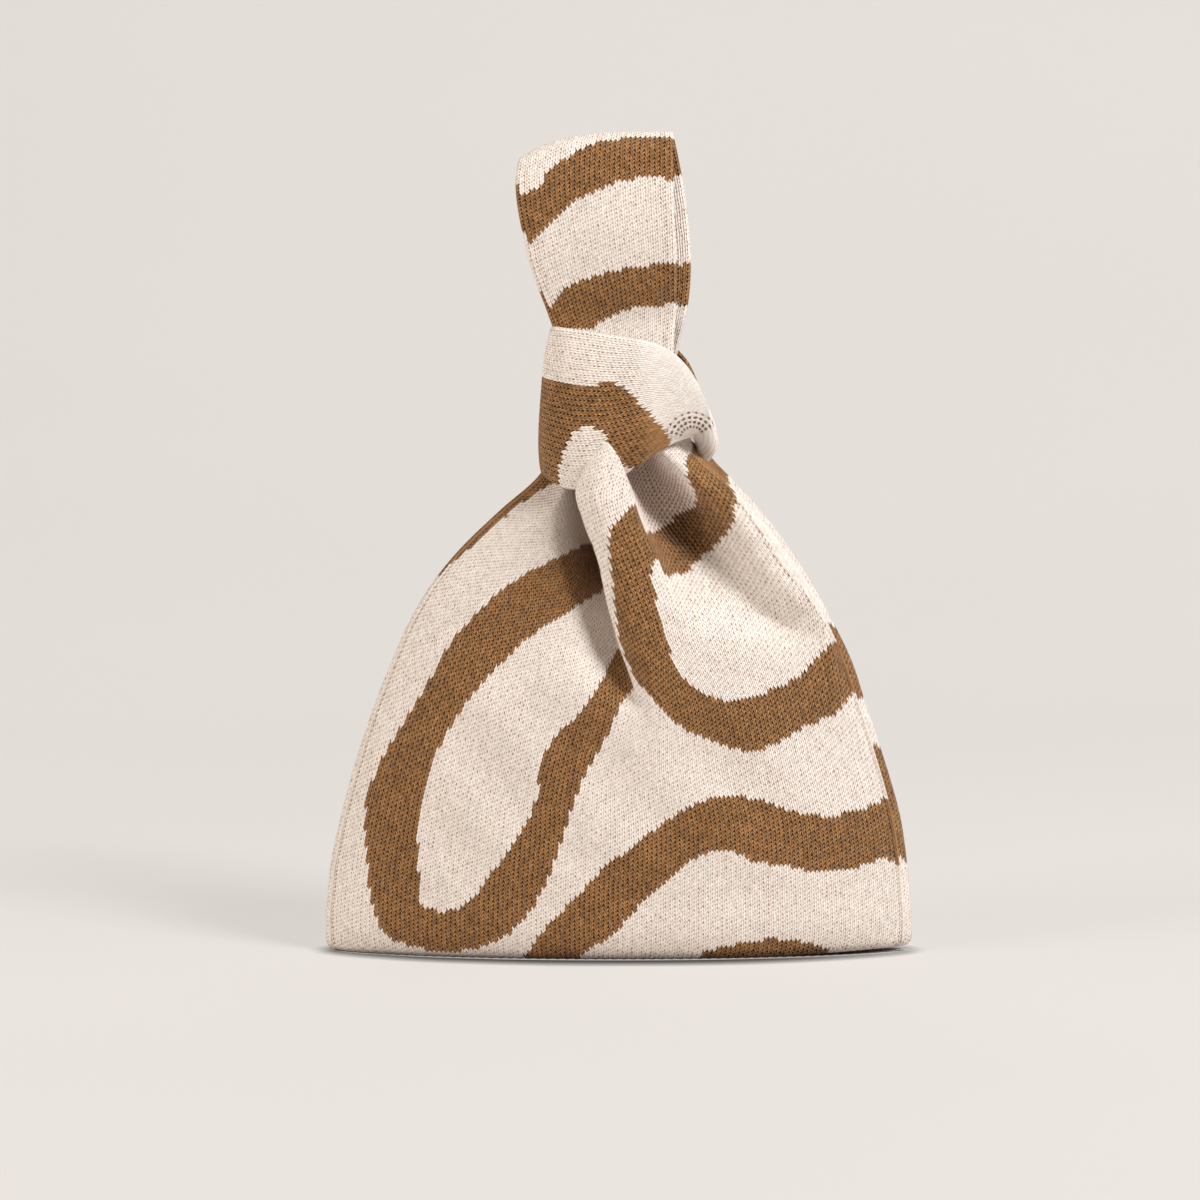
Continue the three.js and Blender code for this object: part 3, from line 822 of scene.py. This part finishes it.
def front_place(u, v):
    plain = FOLD_LIFT + v * COURSE
    x = at_level(front_x, plain)
    lip, fold = on_path(plain, front_levels, front_marks)
    on_left = u < LEFT_WALES
    outward = np.where(on_left, np.maximum(lip - x, 0), np.maximum(x - fold, 0))
    z = plain + ROW_RISE * smooth_step(*RISE_Z, plain) * outward
    far = at_level(front_far, plain)
    left_fold, right_fold = on_path(plain, front_levels, front_folds)
    on_pleat = smooth_step(0, PLEAT_RIM, np.minimum(far - left_fold, right_fold - far))
    beside = closed_up(z, SOFT_TOP, np.where(on_left, LEFT_TOP, RIGHT_TOP))
    z = beside + (closed_up(plain, PLEAT_SOFT_TOP, PLEAT_TOP) - beside) * on_pleat
    x = at_level(front_x, z)
    y = at_level(front_y, z) - slack(x, z)
    return np.stack([x, y, z + corner_lift(x, z)], axis=-1)


def front_brown(u, v, points):
    x, z = seen(points)
    height = points[..., 2]
    far = at_level(front_far[:, 1::2], height)
    left_fold, right_fold = on_path(height, front_levels, front_folds)
    left_of_pleat = far < left_fold
    right_of_pleat = far > right_fold + FLANK
    hook = inside(HOOK, x, z) & ~left_of_pleat & ~(right_of_pleat & (z > HOOK_TOP_RIGHT))
    left_stripes = (inside(BIG_U, x, z) | inside(SHOULDER, x, z)) & left_of_pleat
    right_stripes = (inside(ARC, x, z) | inside(FOOT_ARCH, x, z)) & right_of_pleat
    return hook | left_stripes | right_stripes | inside(LOW_WAVE, x, z)


def front_openings(u, v, points):
    """The knit opens beside the seams and along the line where the right edge is drawn up. Where
    it is drawn in under the band, in the recesses there, its holes open wider and darker, which
    paints the recesses' shade. It closes up between that line and the edge."""
    from_seam = np.minimum(u, FRONT_WALES - u)
    x, y, z = np.moveaxis(points, -1, 0)
    recess_shade = smooth_step(*RECESS_Y, y) * smooth_step(*RECESS_Z, z)
    recess_shade *= 1 - smooth_step(*RECESS_X, np.abs(x))
    inward = front_far[:, -1:] - (front_far[:, 1:] + front_far[:, :-1]) / 2
    past_line = at_level(inward, z) - by_height(EDGE_LINE, z)
    on_line = (np.abs(past_line) < EDGE_LINE_HALF) & (z > EDGE_LINE[0][0])
    opened = np.where(past_line < 0, EDGE_TIGHTNESS, RECESS_SHADE_OPENING * recess_shade)
    return np.where((from_seam < 1) | on_line, SEAM_OPENING, opened)


front = knitted(
    "front_knit", FRONT_WALES, FRONT_COURSES, front_place, front_brown, panel_knit,
    openings=front_openings,
)
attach(front, "sack")
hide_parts("front_panel", "long_strap_root")


# The back panel: the same knit, gathered in one soft fold behind the knot. Its sides come
# round the edges to the front, where the side seams join it to the front panel.
BACK_LEFT_WALES = 64
BACK_WALES = 128
BACK_FOLD_X = [(0, 4), (90, 4), (150, 3), (240, 2)]  # height, middle of the fold
BACK_FOLD_DEPTH = [(0, 0), (80, 0), (120, 5), (160, 15), (200, 19), (240, 14)]  # height, depth
BACK_FOLD_WIDTH = 9
BACK_MIDDLE = 4
LEVEL_HALF = 20  # the rows are level this far to each side of the middle, and climb beyond
BACK_POINTS = 121  # of a section between the side edges
LEFT_POINTS = 7  # and round each edge to its seam
RIGHT_POINTS = 9
STRIPE_HALF = 11.5
LINE_STEP = 0.1  # fineness of a stripe's smooth line, in points
BACK_SWEEP = [(150, 28), (128, 50), (108, 75), (74, 98), (36, 92), (8, 66), (-24, 40), (-58, 34)]
BACK_SWEEP += [(-84, 52), (-90, 88), (-72, 120), (-46, 138), (-18, 150), (2, 170), (8, 214)]
BACK_SHOULDER = [(-82, 172), (-66, 184), (-48, 200), (-30, 214), (-10, 226)]
BACK_FOOT = [(110, -20), (84, 14), (52, 22), (20, 6), (0, -20)]
BACK_RIGHT = [(130, 114), (94, 125), (64, 148), (46, 170), (34, 206)]


def near_line(points, half_width, x, z):
    """Which places lie within half a stripe's width of a smooth line."""
    line = np.array(points, float)
    spots = np.arange(0, len(line) - 1 + LINE_STEP / 2, LINE_STEP)
    dense = through(np.arange(len(line)), line, spots)
    nearest = np.full(x.shape, np.inf)
    for spot_x, spot_z in dense:
        nearest = np.minimum(nearest, (x - spot_x) ** 2 + (z - spot_z) ** 2)
    return nearest < half_width**2


back_x, back_y = [], []
for level, (path, far) in zip(front_levels, front_paths):
    shares = np.cos(np.linspace(0, np.pi, BACK_POINTS))
    x = between_edges(shares, level)
    off = (x - by_height(BACK_FOLD_X, level)) / BACK_FOLD_WIDTH
    y = lens_depth(shares, level) - by_height(BACK_FOLD_DEPTH, level) * np.exp(-off * off)
    right_spots = np.linspace(far[-1] - RIGHT_SEAM, far[-1], RIGHT_POINTS)
    round_right = np.stack(on_path(right_spots, far, path), axis=1)
    left_spots = np.linspace(0, LEFT_SEAM, LEFT_POINTS)
    round_left = np.stack(on_path(left_spots, far, path), axis=1)
    loop = np.concatenate([round_right, np.stack([x, y], axis=1)[1:-1], round_left])
    along = distances(loop)
    fold_at = np.interp(-by_height(BACK_FOLD_X, level), -x, along[len(round_right) - 1 :][: len(x)])
    first = spread(BACK_LEFT_WALES, 0, fold_at)
    second = spread(BACK_WALES - BACK_LEFT_WALES, along[-1], fold_at)[::-1]
    x, y = on_path(np.concatenate([first, second[1:]]), along, loop)
    back_x.append(x)
    back_y.append(y)
back_x, back_y = np.array(back_x), np.array(back_y)


def back_place(u, v):
    plain = FOLD_LIFT + v * COURSE
    x = at_level(back_x, plain)
    outward = np.maximum(np.abs(x - BACK_MIDDLE) - LEVEL_HALF, 0)
    z = closed_up(plain + ROW_RISE * smooth_step(*RISE_Z, plain) * outward, SOFT_TOP, LEFT_TOP)
    x = at_level(back_x, z)
    return np.stack([x, at_level(back_y, z), z + corner_lift(x, z)], axis=-1)


def back_brown(u, v, points):
    x, z = points[..., 0], points[..., 2]
    lines = (BACK_SWEEP, BACK_SHOULDER, BACK_FOOT, BACK_RIGHT)
    found = [near_line(line, STRIPE_HALF, x, z) for line in lines]
    return np.any(found, axis=0)


back = knitted("back_knit", BACK_WALES, FRONT_COURSES, back_place, back_brown, panel_knit)
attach(back, "sack")
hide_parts("back_panel")


# The side seams: chains of linked loops of the same yarn, which join the front panel to the
# sides of the back. They run from the bottom fold up into the knot.
SEAM_PITCH = 2.1
SEAM_LINK = (0.6, 0.3, 1.2)  # half sizes of a link: across the seam, out of it and along it
SEAM_FOOT = 3  # height where the seams start
LEFT_SEAM_TOP = 205
RIGHT_SEAM_TOP = 212
SEAM_STEP = 0.5  # distance to either side in which the knit's direction is read
FIBRE_DARKEST = 0.8  # brightness of the darkest fibres
FIBRE_SPREAD = 0.3  # and how much brighter the brightest are


def yarn_look():
    material, shader = new_material("seam_yarn", roughness=0.9)
    nodes, links = material.node_tree.nodes, material.node_tree.links
    fibre = nodes.new("ShaderNodeTexNoise")
    fibre.inputs["Scale"].default_value = 1400
    colour = mixed(nodes, links, face_value(nodes, "brown"), CREAM, BROWN)
    brighter = value_node(nodes, links, "MULTIPLY", fibre.outputs["Fac"], FIBRE_SPREAD)
    shade = value_node(nodes, links, "ADD", brighter, FIBRE_DARKEST)
    links.new(toned(nodes, links, colour, shade), shader.inputs["Base Color"])
    twist = nodes.new("ShaderNodeTexWave")
    twist.bands_direction = "DIAGONAL"
    twist.inputs["Scale"].default_value = 420
    add_relief(material, shader, twist.outputs["Fac"], strength=0.4, depth=0.2)
    set_bloom(shader)
    return material


seam_yarn = yarn_look()


def link_shape(rings=5, sides=8):
    """A round link of unit half sizes: its points and faces."""
    points = [(0, 0, -1)]
    for ring in range(1, rings):
        lean = math.pi * ring / rings - math.pi / 2
        radius = math.cos(lean)
        for side in range(sides):
            turn = 2 * math.pi * side / sides
            points.append((radius * math.cos(turn), radius * math.sin(turn), math.sin(lean)))
    points.append((0, 0, 1))
    last = len(points) - 1
    faces = []
    for side in range(sides):
        after = (side + 1) % sides
        faces.append((0, 1 + after, 1 + side))
        for ring in range(rings - 2):
            low, high = 1 + ring * sides, 1 + (ring + 1) * sides
            faces.append((low + side, low + after, high + after, high + side))
        faces.append((last, last - sides + side, last - sides + after))
    return np.array(points, float), faces


def seam_chain(name, line, outward, is_brown):
    """A chain of links along a line of points, with the direction outward from the knit."""
    far = distances(line)
    spots = np.arange(SEAM_PITCH / 2, far[-1], SEAM_PITCH)
    centres = np.stack(on_path(spots, far, line), axis=1)
    along = np.stack(on_path(spots, far, np.gradient(line, far, axis=0)), axis=1)
    out = np.stack(on_path(spots, far, outward), axis=1)
    out -= along * np.sum(out * along, axis=1, keepdims=True)
    out /= np.linalg.norm(out, axis=1, keepdims=True)
    across = np.cross(out, along)
    shape, faces = link_shape()
    points = centres[:, None]
    for axis, (half, way) in enumerate(zip(SEAM_LINK, (across, out, along))):
        points = points + shape[None, :, axis : axis + 1] * half * way[:, None]
    starts = [n * len(shape) for n in range(len(spots))]
    every = [[start + corner for corner in face] for start in starts for face in faces]
    brown = np.repeat(is_brown(centres), len(faces))
    return grid_object(name, points.reshape(-1, 3), every, {"brown": brown}, {}, seam_yarn)


def side_seam(name, node, on_left, top):
    line, outward = [], []
    for level, (path, far) in zip(front_levels, front_paths):
        if SEAM_FOOT <= level <= top:
            spot = LEFT_SEAM if on_left else far[-1] - RIGHT_SEAM
            ahead = on_path(spot + SEAM_STEP, far, path)
            behind = on_path(spot - SEAM_STEP, far, path)
            line.append([(ahead[0] + behind[0]) / 2, (ahead[1] + behind[1]) / 2, level])
            outward.append([ahead[1] - behind[1], behind[0] - ahead[0], 0])

    def on_stripe(centres):
        x, z = seen(centres)
        return np.any([inside(stripe, x, z) for stripe in (SHOULDER, LOW_WAVE, HOOK, ARC)], axis=0)

    chain = seam_chain(name, np.array(line), np.array(outward), on_stripe)
    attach(chain, "sack")
    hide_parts(node)


side_seam("left_seam_chain", "left_side_seam", on_left=True, top=LEFT_SEAM_TOP)
side_seam("right_seam_chain", "right_side_seam", on_left=False, top=RIGHT_SEAM_TOP)


# The short strap: a folded-over strap of the same knit that wraps the neck as a band. It turns
# at the left, and at the right its upper edge swings round the lower one and dives behind.
STRAP_WALES = 30  # columns across one face of a strap
EDGE_WALES = 2  # and round each of its edges
KNIT = 3  # thickness of the strap
strap_knit = knit_look("strap_knit")

# The front half of the band, from its left turn on: its edges as (x, z) points, and the depth
# and the bulge at each.
BAND_LOWER = [(-34, 208), (-30.5, 205.3), (-20, 202), (-6, 205), (8, 212), (17, 218.3), (25, 222)]
BAND_LOWER += [(30, 223.3), (31.2, 222.8), (31.8, 221.5), (32.2, 219.5), (32.3, 217.5), (31, 213)]
BAND_UPPER = [(-29.7, 267), (-26.5, 266.8), (-14, 265.3), (-1, 263.3), (11, 261.3), (20, 258)]
BAND_UPPER += [(28, 251), (33.5, 242), (37, 233), (39.4, 224), (39.6, 217.5), (36.5, 212.5)]
BAND_UPPER += [(32.5, 206)]
BAND_DEPTH = [0, 13, 21, 24.3, 24.3, 22, 18.5, 15.5, 13.5, 11.5, 8.5, 5.5, 3.5]
BAND_BULGE = [2, 2.5, 3, 3, 3, 3.5, 5, 6.5, 6.5, 5, 3, 2, 1]
BAND_ROUND = 3.2  # exponent of the bulge across the strap
BACK_RAISE = [0, 0, 0, 0, 0.6, 1.6, 1.6, 0.5, 0, 0, 0, 0, 0]  # rise of the upper edge behind
RAISE_WAY = [0.6, 0, 1]
BAND_COURSES = 127
BAND_STEP = 0.5  # distance to either side in which the band's direction is read
BAND_STRIPE = [(-42, 244), (-28, 245), (-13, 244), (-3, 244), (4, 239), (13, 230), (21, 219)]
BAND_STRIPE += [(16, 212.5), (10, 207), (0, 209), (-6, 218), (-9, 224), (-19, 225), (-24, 216)]
BAND_STRIPE += [(-27, 208), (-28, 197), (-43, 197)]
BAND_BACK_LINE = [(-40, 220), (-16, 226), (6, 238), (22, 262)]
BAND_BACK_HALF = 20
PIVOT = (30, 222)  # where the strap swings round its lower edge
FAN_SPACING = 2  # distance of its arcs of holes
FAN_ARCS = (2, 6)  # the arcs lie between these
FAN_TURNS = (-5, 4)  # and run from the left over the top, in holes
FAN_ROUND = 3.6  # holes per radian
LOBE_TIGHTNESS = -0.9  # of the knit that is drawn to this turn
LOBE_X = (4, 20)


def flat_tube(u, wales, edge):
    """The section of a flat strap: its outer face, one turned edge, its inner face and the
    other edge. Gives the share across, the lift off the middle and the reach past the edge."""
    turn = np.pi / edge
    right = np.clip(u - wales, 0, edge) * turn
    left = np.clip(u - 2 * wales - edge, 0, edge) * turn
    back = np.clip(u - wales - edge, 0, wales)
    share = (np.clip(u, 0, wales) - back) / wales
    lift = np.where(u < wales + edge, np.cos(right), -np.cos(left))
    return share, lift, np.sin(right) - np.sin(left)


TUBE_WALES = 2 * (STRAP_WALES + EDGE_WALES)
BEHIND = np.array([1, -1, 1])
band_lower = np.array([(x, -y, z) for (x, z), y in zip(BAND_LOWER, BAND_DEPTH)])
band_upper = np.array([(x, -y, z) for (x, z), y in zip(BAND_UPPER, BAND_DEPTH)])
rail_lower = np.concatenate([(band_lower * BEHIND)[:0:-1], band_lower])
band_behind = band_upper * BEHIND + np.outer(BACK_RAISE, RAISE_WAY)
rail_upper = np.concatenate([band_behind[:0:-1], band_upper])
rail_bulge = np.array(BAND_BULGE[:0:-1] + BAND_BULGE)
rail_along = distances((rail_lower + 2 * rail_upper) / 3)


def band_place(u, v):
    at = v / BAND_COURSES * rail_along[-1]
    lower, upper = through(rail_along, rail_lower, at), through(rail_along, rail_upper, at)
    bulge = through(rail_along, rail_bulge, at)
    share, lift, reach = flat_tube(u, STRAP_WALES, EDGE_WALES)
    across = lower - upper
    width = np.linalg.norm(across, axis=-1, keepdims=True)
    ahead = through(rail_along, rail_upper + rail_lower, at + BAND_STEP)
    behind = through(rail_along, rail_upper + rail_lower, at - BAND_STEP)
    out = np.cross(across, ahead - behind)
    out /= np.linalg.norm(out, axis=-1, keepdims=True)
    crown = bulge * (1 - np.abs(2 * share - 1) ** BAND_ROUND)
    middle = upper + across * share[..., None] + across / width * (KNIT / 2 * reach)[..., None]
    return middle + out * (crown + KNIT / 2 * lift - KNIT / 2)[..., None]


def band_brown(u, v, points):
    x, y, z = np.moveaxis(points, -1, 0)
    front_stripe = inside(BAND_STRIPE, *seen(points))
    return np.where(y < 0, front_stripe, near_line(BAND_BACK_LINE, BAND_BACK_HALF, x, z))


def band_fan(u, v, points):
    """Arcs of holes, stretched open where the strap swings round its lower edge."""
    x, z = points[..., 0] - PIVOT[0], points[..., 2] - PIVOT[1]
    arc = np.where(u < STRAP_WALES, np.hypot(x, z) / FAN_SPACING, FAN_ARCS[1])
    turn = np.clip(np.arctan2(x, z) * FAN_ROUND, *FAN_TURNS)
    return np.stack([np.clip(arc, *FAN_ARCS), turn], axis=-1)


def band_openings(u, v, points):
    """The knit closes up where the strap is drawn tight on the way to its turn."""
    return LOBE_TIGHTNESS * smooth_step(*LOBE_X, points[..., 0]) * (points[..., 1] < 0)


band = knitted(
    "short_strap_knit", TUBE_WALES, BAND_COURSES, band_place, band_brown, strap_knit,
    tube=True, openings=band_openings, fan=band_fan,
)
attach(band, "sack")
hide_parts("short_strap_front", "short_strap_back", "short_strap_seam")


# The long strap: drawn up through the band and standing above it as the wrist loop. Its two
# layers meet inside the knot, and it folds over at the crown with a lower left end.

# The loop's edges in front and behind as (height, x) pairs, and its front half as (y, z) points
# of its side.
LOOP_LEFT_FRONT = [(225, -22), (250, -25), (266, -26.5), (275, -29.5), (285, -33.3), (296, -37)]
LOOP_LEFT_FRONT += [(303, -38.4), (316, -41), (331, -42.3), (340, -41.8), (346, -40.5)]
LOOP_LEFT_FRONT += [(350, -37.5)]
LOOP_RIGHT_FRONT = [(225, 20), (266, 21.5), (277, 22.2), (301, 21.8), (323, 20.9), (340, 20.5)]
LOOP_RIGHT_FRONT += [(350, 20.7)]
LOOP_LEFT_BACK = [(225, -21), (266, -24), (300, -34), (330, -38), (345, -39), (350, -37.5)]
LOOP_RIGHT_BACK = [(225, 21), (263, 24), (273, 26.5), (295, 28.6), (310, 27.8), (327, 25.6)]
LOOP_RIGHT_BACK += [(338, 23.5), (350, 20.7)]
LOOP_SIDE = [(-10, 226), (-9, 245), (-5, 261), (-2.1, 271), (-4.6, 286), (-7.6, 301)]
LOOP_SIDE += [(-9.6, 318), (-9.4, 333), (-6.6, 344), (0, 348.5)]
LOOP_STEPS = 12  # from one point of its side to the next
LOOP_COURSES = 151
LOOP_DROP = 9.5  # how much lower the crown's left end is
DROP_POWER = 4  # and how suddenly it drops
CROWN_COURSES = 3  # rows to each side of the crown's fold that are cream
PINCH = 271  # height where the two layers part
LOOP_TOP = 350
EDGE_OPENING = 0.3
LOOP_UPPER = [(-49, 319), (-41, 323), (-34, 327), (-30, 333), (-23, 338), (-15, 343), (-4, 346)]
LOOP_UPPER += [(8, 347), (25, 347), (29, 338), (25, 330), (10, 330), (-2, 328), (-11, 324)]
LOOP_UPPER += [(-19, 320), (-27, 313), (-34, 306), (-39, 302), (-46, 298)]
LOOP_LOWER = [(-36, 272), (-29, 277), (-25, 282), (-17, 287), (-6, 290), (8, 293), (22, 294)]
LOOP_LOWER += [(32, 295), (32, 279), (22, 277), (8, 276), (-4, 272), (-10, 268), (-14, 266)]
LOOP_LOWER += [(-27, 266), (-34, 265)]
LOOP_BACK_LINES = [[(-50, 312), (-20, 330), (10, 342), (40, 340)]]
LOOP_BACK_LINES += [[(-40, 272), (0, 284), (40, 287)]]
LOOP_BACK_HALF = 9

side_front = np.array(LOOP_SIDE, float)
side_ring = np.concatenate([side_front, (side_front * [-1, 1])[-2::-1]])
side_path, side_far = measured_path(side_ring, LOOP_STEPS)
side_slope = np.gradient(side_path, side_far, axis=0)


def loop_place(u, v):
    far = v / LOOP_COURSES * side_far[-1]
    y, z = on_path(far, side_far, side_path)
    rise_y, rise_z = on_path(far, side_far, side_slope)
    share, lift, reach = flat_tube(u, STRAP_WALES, EDGE_WALES)
    on_front = far < side_far[-1] / 2
    left = np.where(on_front, by_height(LOOP_LEFT_FRONT, z), by_height(LOOP_LEFT_BACK, z))
    right = np.where(on_front, by_height(LOOP_RIGHT_FRONT, z), by_height(LOOP_RIGHT_BACK, z))
    climbed = np.clip((z - PINCH) / (LOOP_TOP - PINCH), 0, 1)
    x = left + (right - left) * share + KNIT / 2 * reach
    half = KNIT / 2 * lift
    drop = LOOP_DROP * ((1 - share) * climbed) ** DROP_POWER
    return np.stack([x, y - rise_z * half, z + rise_y * half - drop], axis=-1)


def loop_brown(u, v, points):
    outer = u < STRAP_WALES + EDGE_WALES
    on_front = v < LOOP_COURSES / 2
    front_stripes = inside(LOOP_UPPER, *seen(points)) | inside(LOOP_LOWER, *seen(points))
    x, z = points[..., 0], points[..., 2]
    found = [near_line(line, LOOP_BACK_HALF, x, z) for line in LOOP_BACK_LINES]
    back_stripes = np.any(found, axis=0)
    on_crown = np.abs(v - LOOP_COURSES / 2) < CROWN_COURSES
    return np.where(on_front & outer, front_stripes, back_stripes) & ~on_crown


def loop_openings(u, v, points):
    """The knit opens in the second column from each edge, beside the turned edges."""
    from_edge = np.minimum(u, STRAP_WALES - u)
    return np.where((from_edge > 1) & (from_edge < 2), EDGE_OPENING, 0)


wrist_loop = knitted(
    "long_strap_knit", TUBE_WALES, LOOP_COURSES, loop_place, loop_brown, strap_knit,
    tube=True, openings=loop_openings,
)
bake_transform(wrist_loop)
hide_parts("loop_front", "loop_crown", "loop_back", "loop_left_edge", "loop_right_edge")
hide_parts("long_strap_front_leg", "long_strap_back_leg")


# The seam of the long strap: a chain of the same links across the inside of the crown, where
# the strap's ends meet. It drops to the left with the crown.
CROWN_SEAM_X = (-36, 16)
CROWN_SEAM_Z = 346.2
CROWN_SEAM_POINTS = 30


def crown_seam():
    x = np.linspace(*CROWN_SEAM_X, CROWN_SEAM_POINTS)
    left, right = LOOP_LEFT_FRONT[-1][1], LOOP_RIGHT_FRONT[-1][1]
    z = CROWN_SEAM_Z - LOOP_DROP * ((right - x) / (right - left)) ** DROP_POWER
    line = np.stack([x, np.zeros_like(x), z], axis=1)
    down = np.tile([0.0, 0.0, -1.0], (len(x), 1))
    chain = seam_chain("crown_seam_chain", line, down, lambda centres: np.zeros(len(centres)))
    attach(chain, "wrist_loop")
    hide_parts("loop_crown_seam")


crown_seam()


# The hems of the mouth: bound edges of the front and back panels, gathered inside the band.
# They follow its lower edge and are out of sight there.
HEM_WALES = 5
HEM_COURSES = 44
HEM_START = 0.13  # shares of half the band's length, from its left turn
HEM_LENGTH = 0.45
HEM_RISE = 8  # height of a hem
HEM_LIFT = 1  # and of its foot over the band's lower edge
HEM_INSET = 4.5  # distance from the band, behind it
HEM_NARROWER = 0.9  # distances from the middle, as a share of the band's


def mouth_hem(name, facing, node):
    def place(u, v):
        share = HEM_START + HEM_LENGTH * v / HEM_COURSES
        lower = through(rail_along, rail_lower, (1 + share) * rail_along[-1] / 2)
        x, y, z = np.moveaxis(lower, -1, 0)
        inward = 1 - HEM_INSET / np.maximum(np.abs(y), 2 * HEM_INSET)
        z = z + HEM_RISE * (1 - u / HEM_WALES) + HEM_LIFT
        return np.stack([x * HEM_NARROWER, -facing * y * inward, z], axis=-1)

    def plain(u, v, points):
        return np.zeros(u.shape, bool)

    hem = knitted(name, HEM_WALES, HEM_COURSES, place, plain, strap_knit)
    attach(hem, "sack")
    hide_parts(node)


mouth_hem("front_hem_knit", -1, "front_mouth_hem")
mouth_hem("back_hem_knit", 1, "back_mouth_hem")
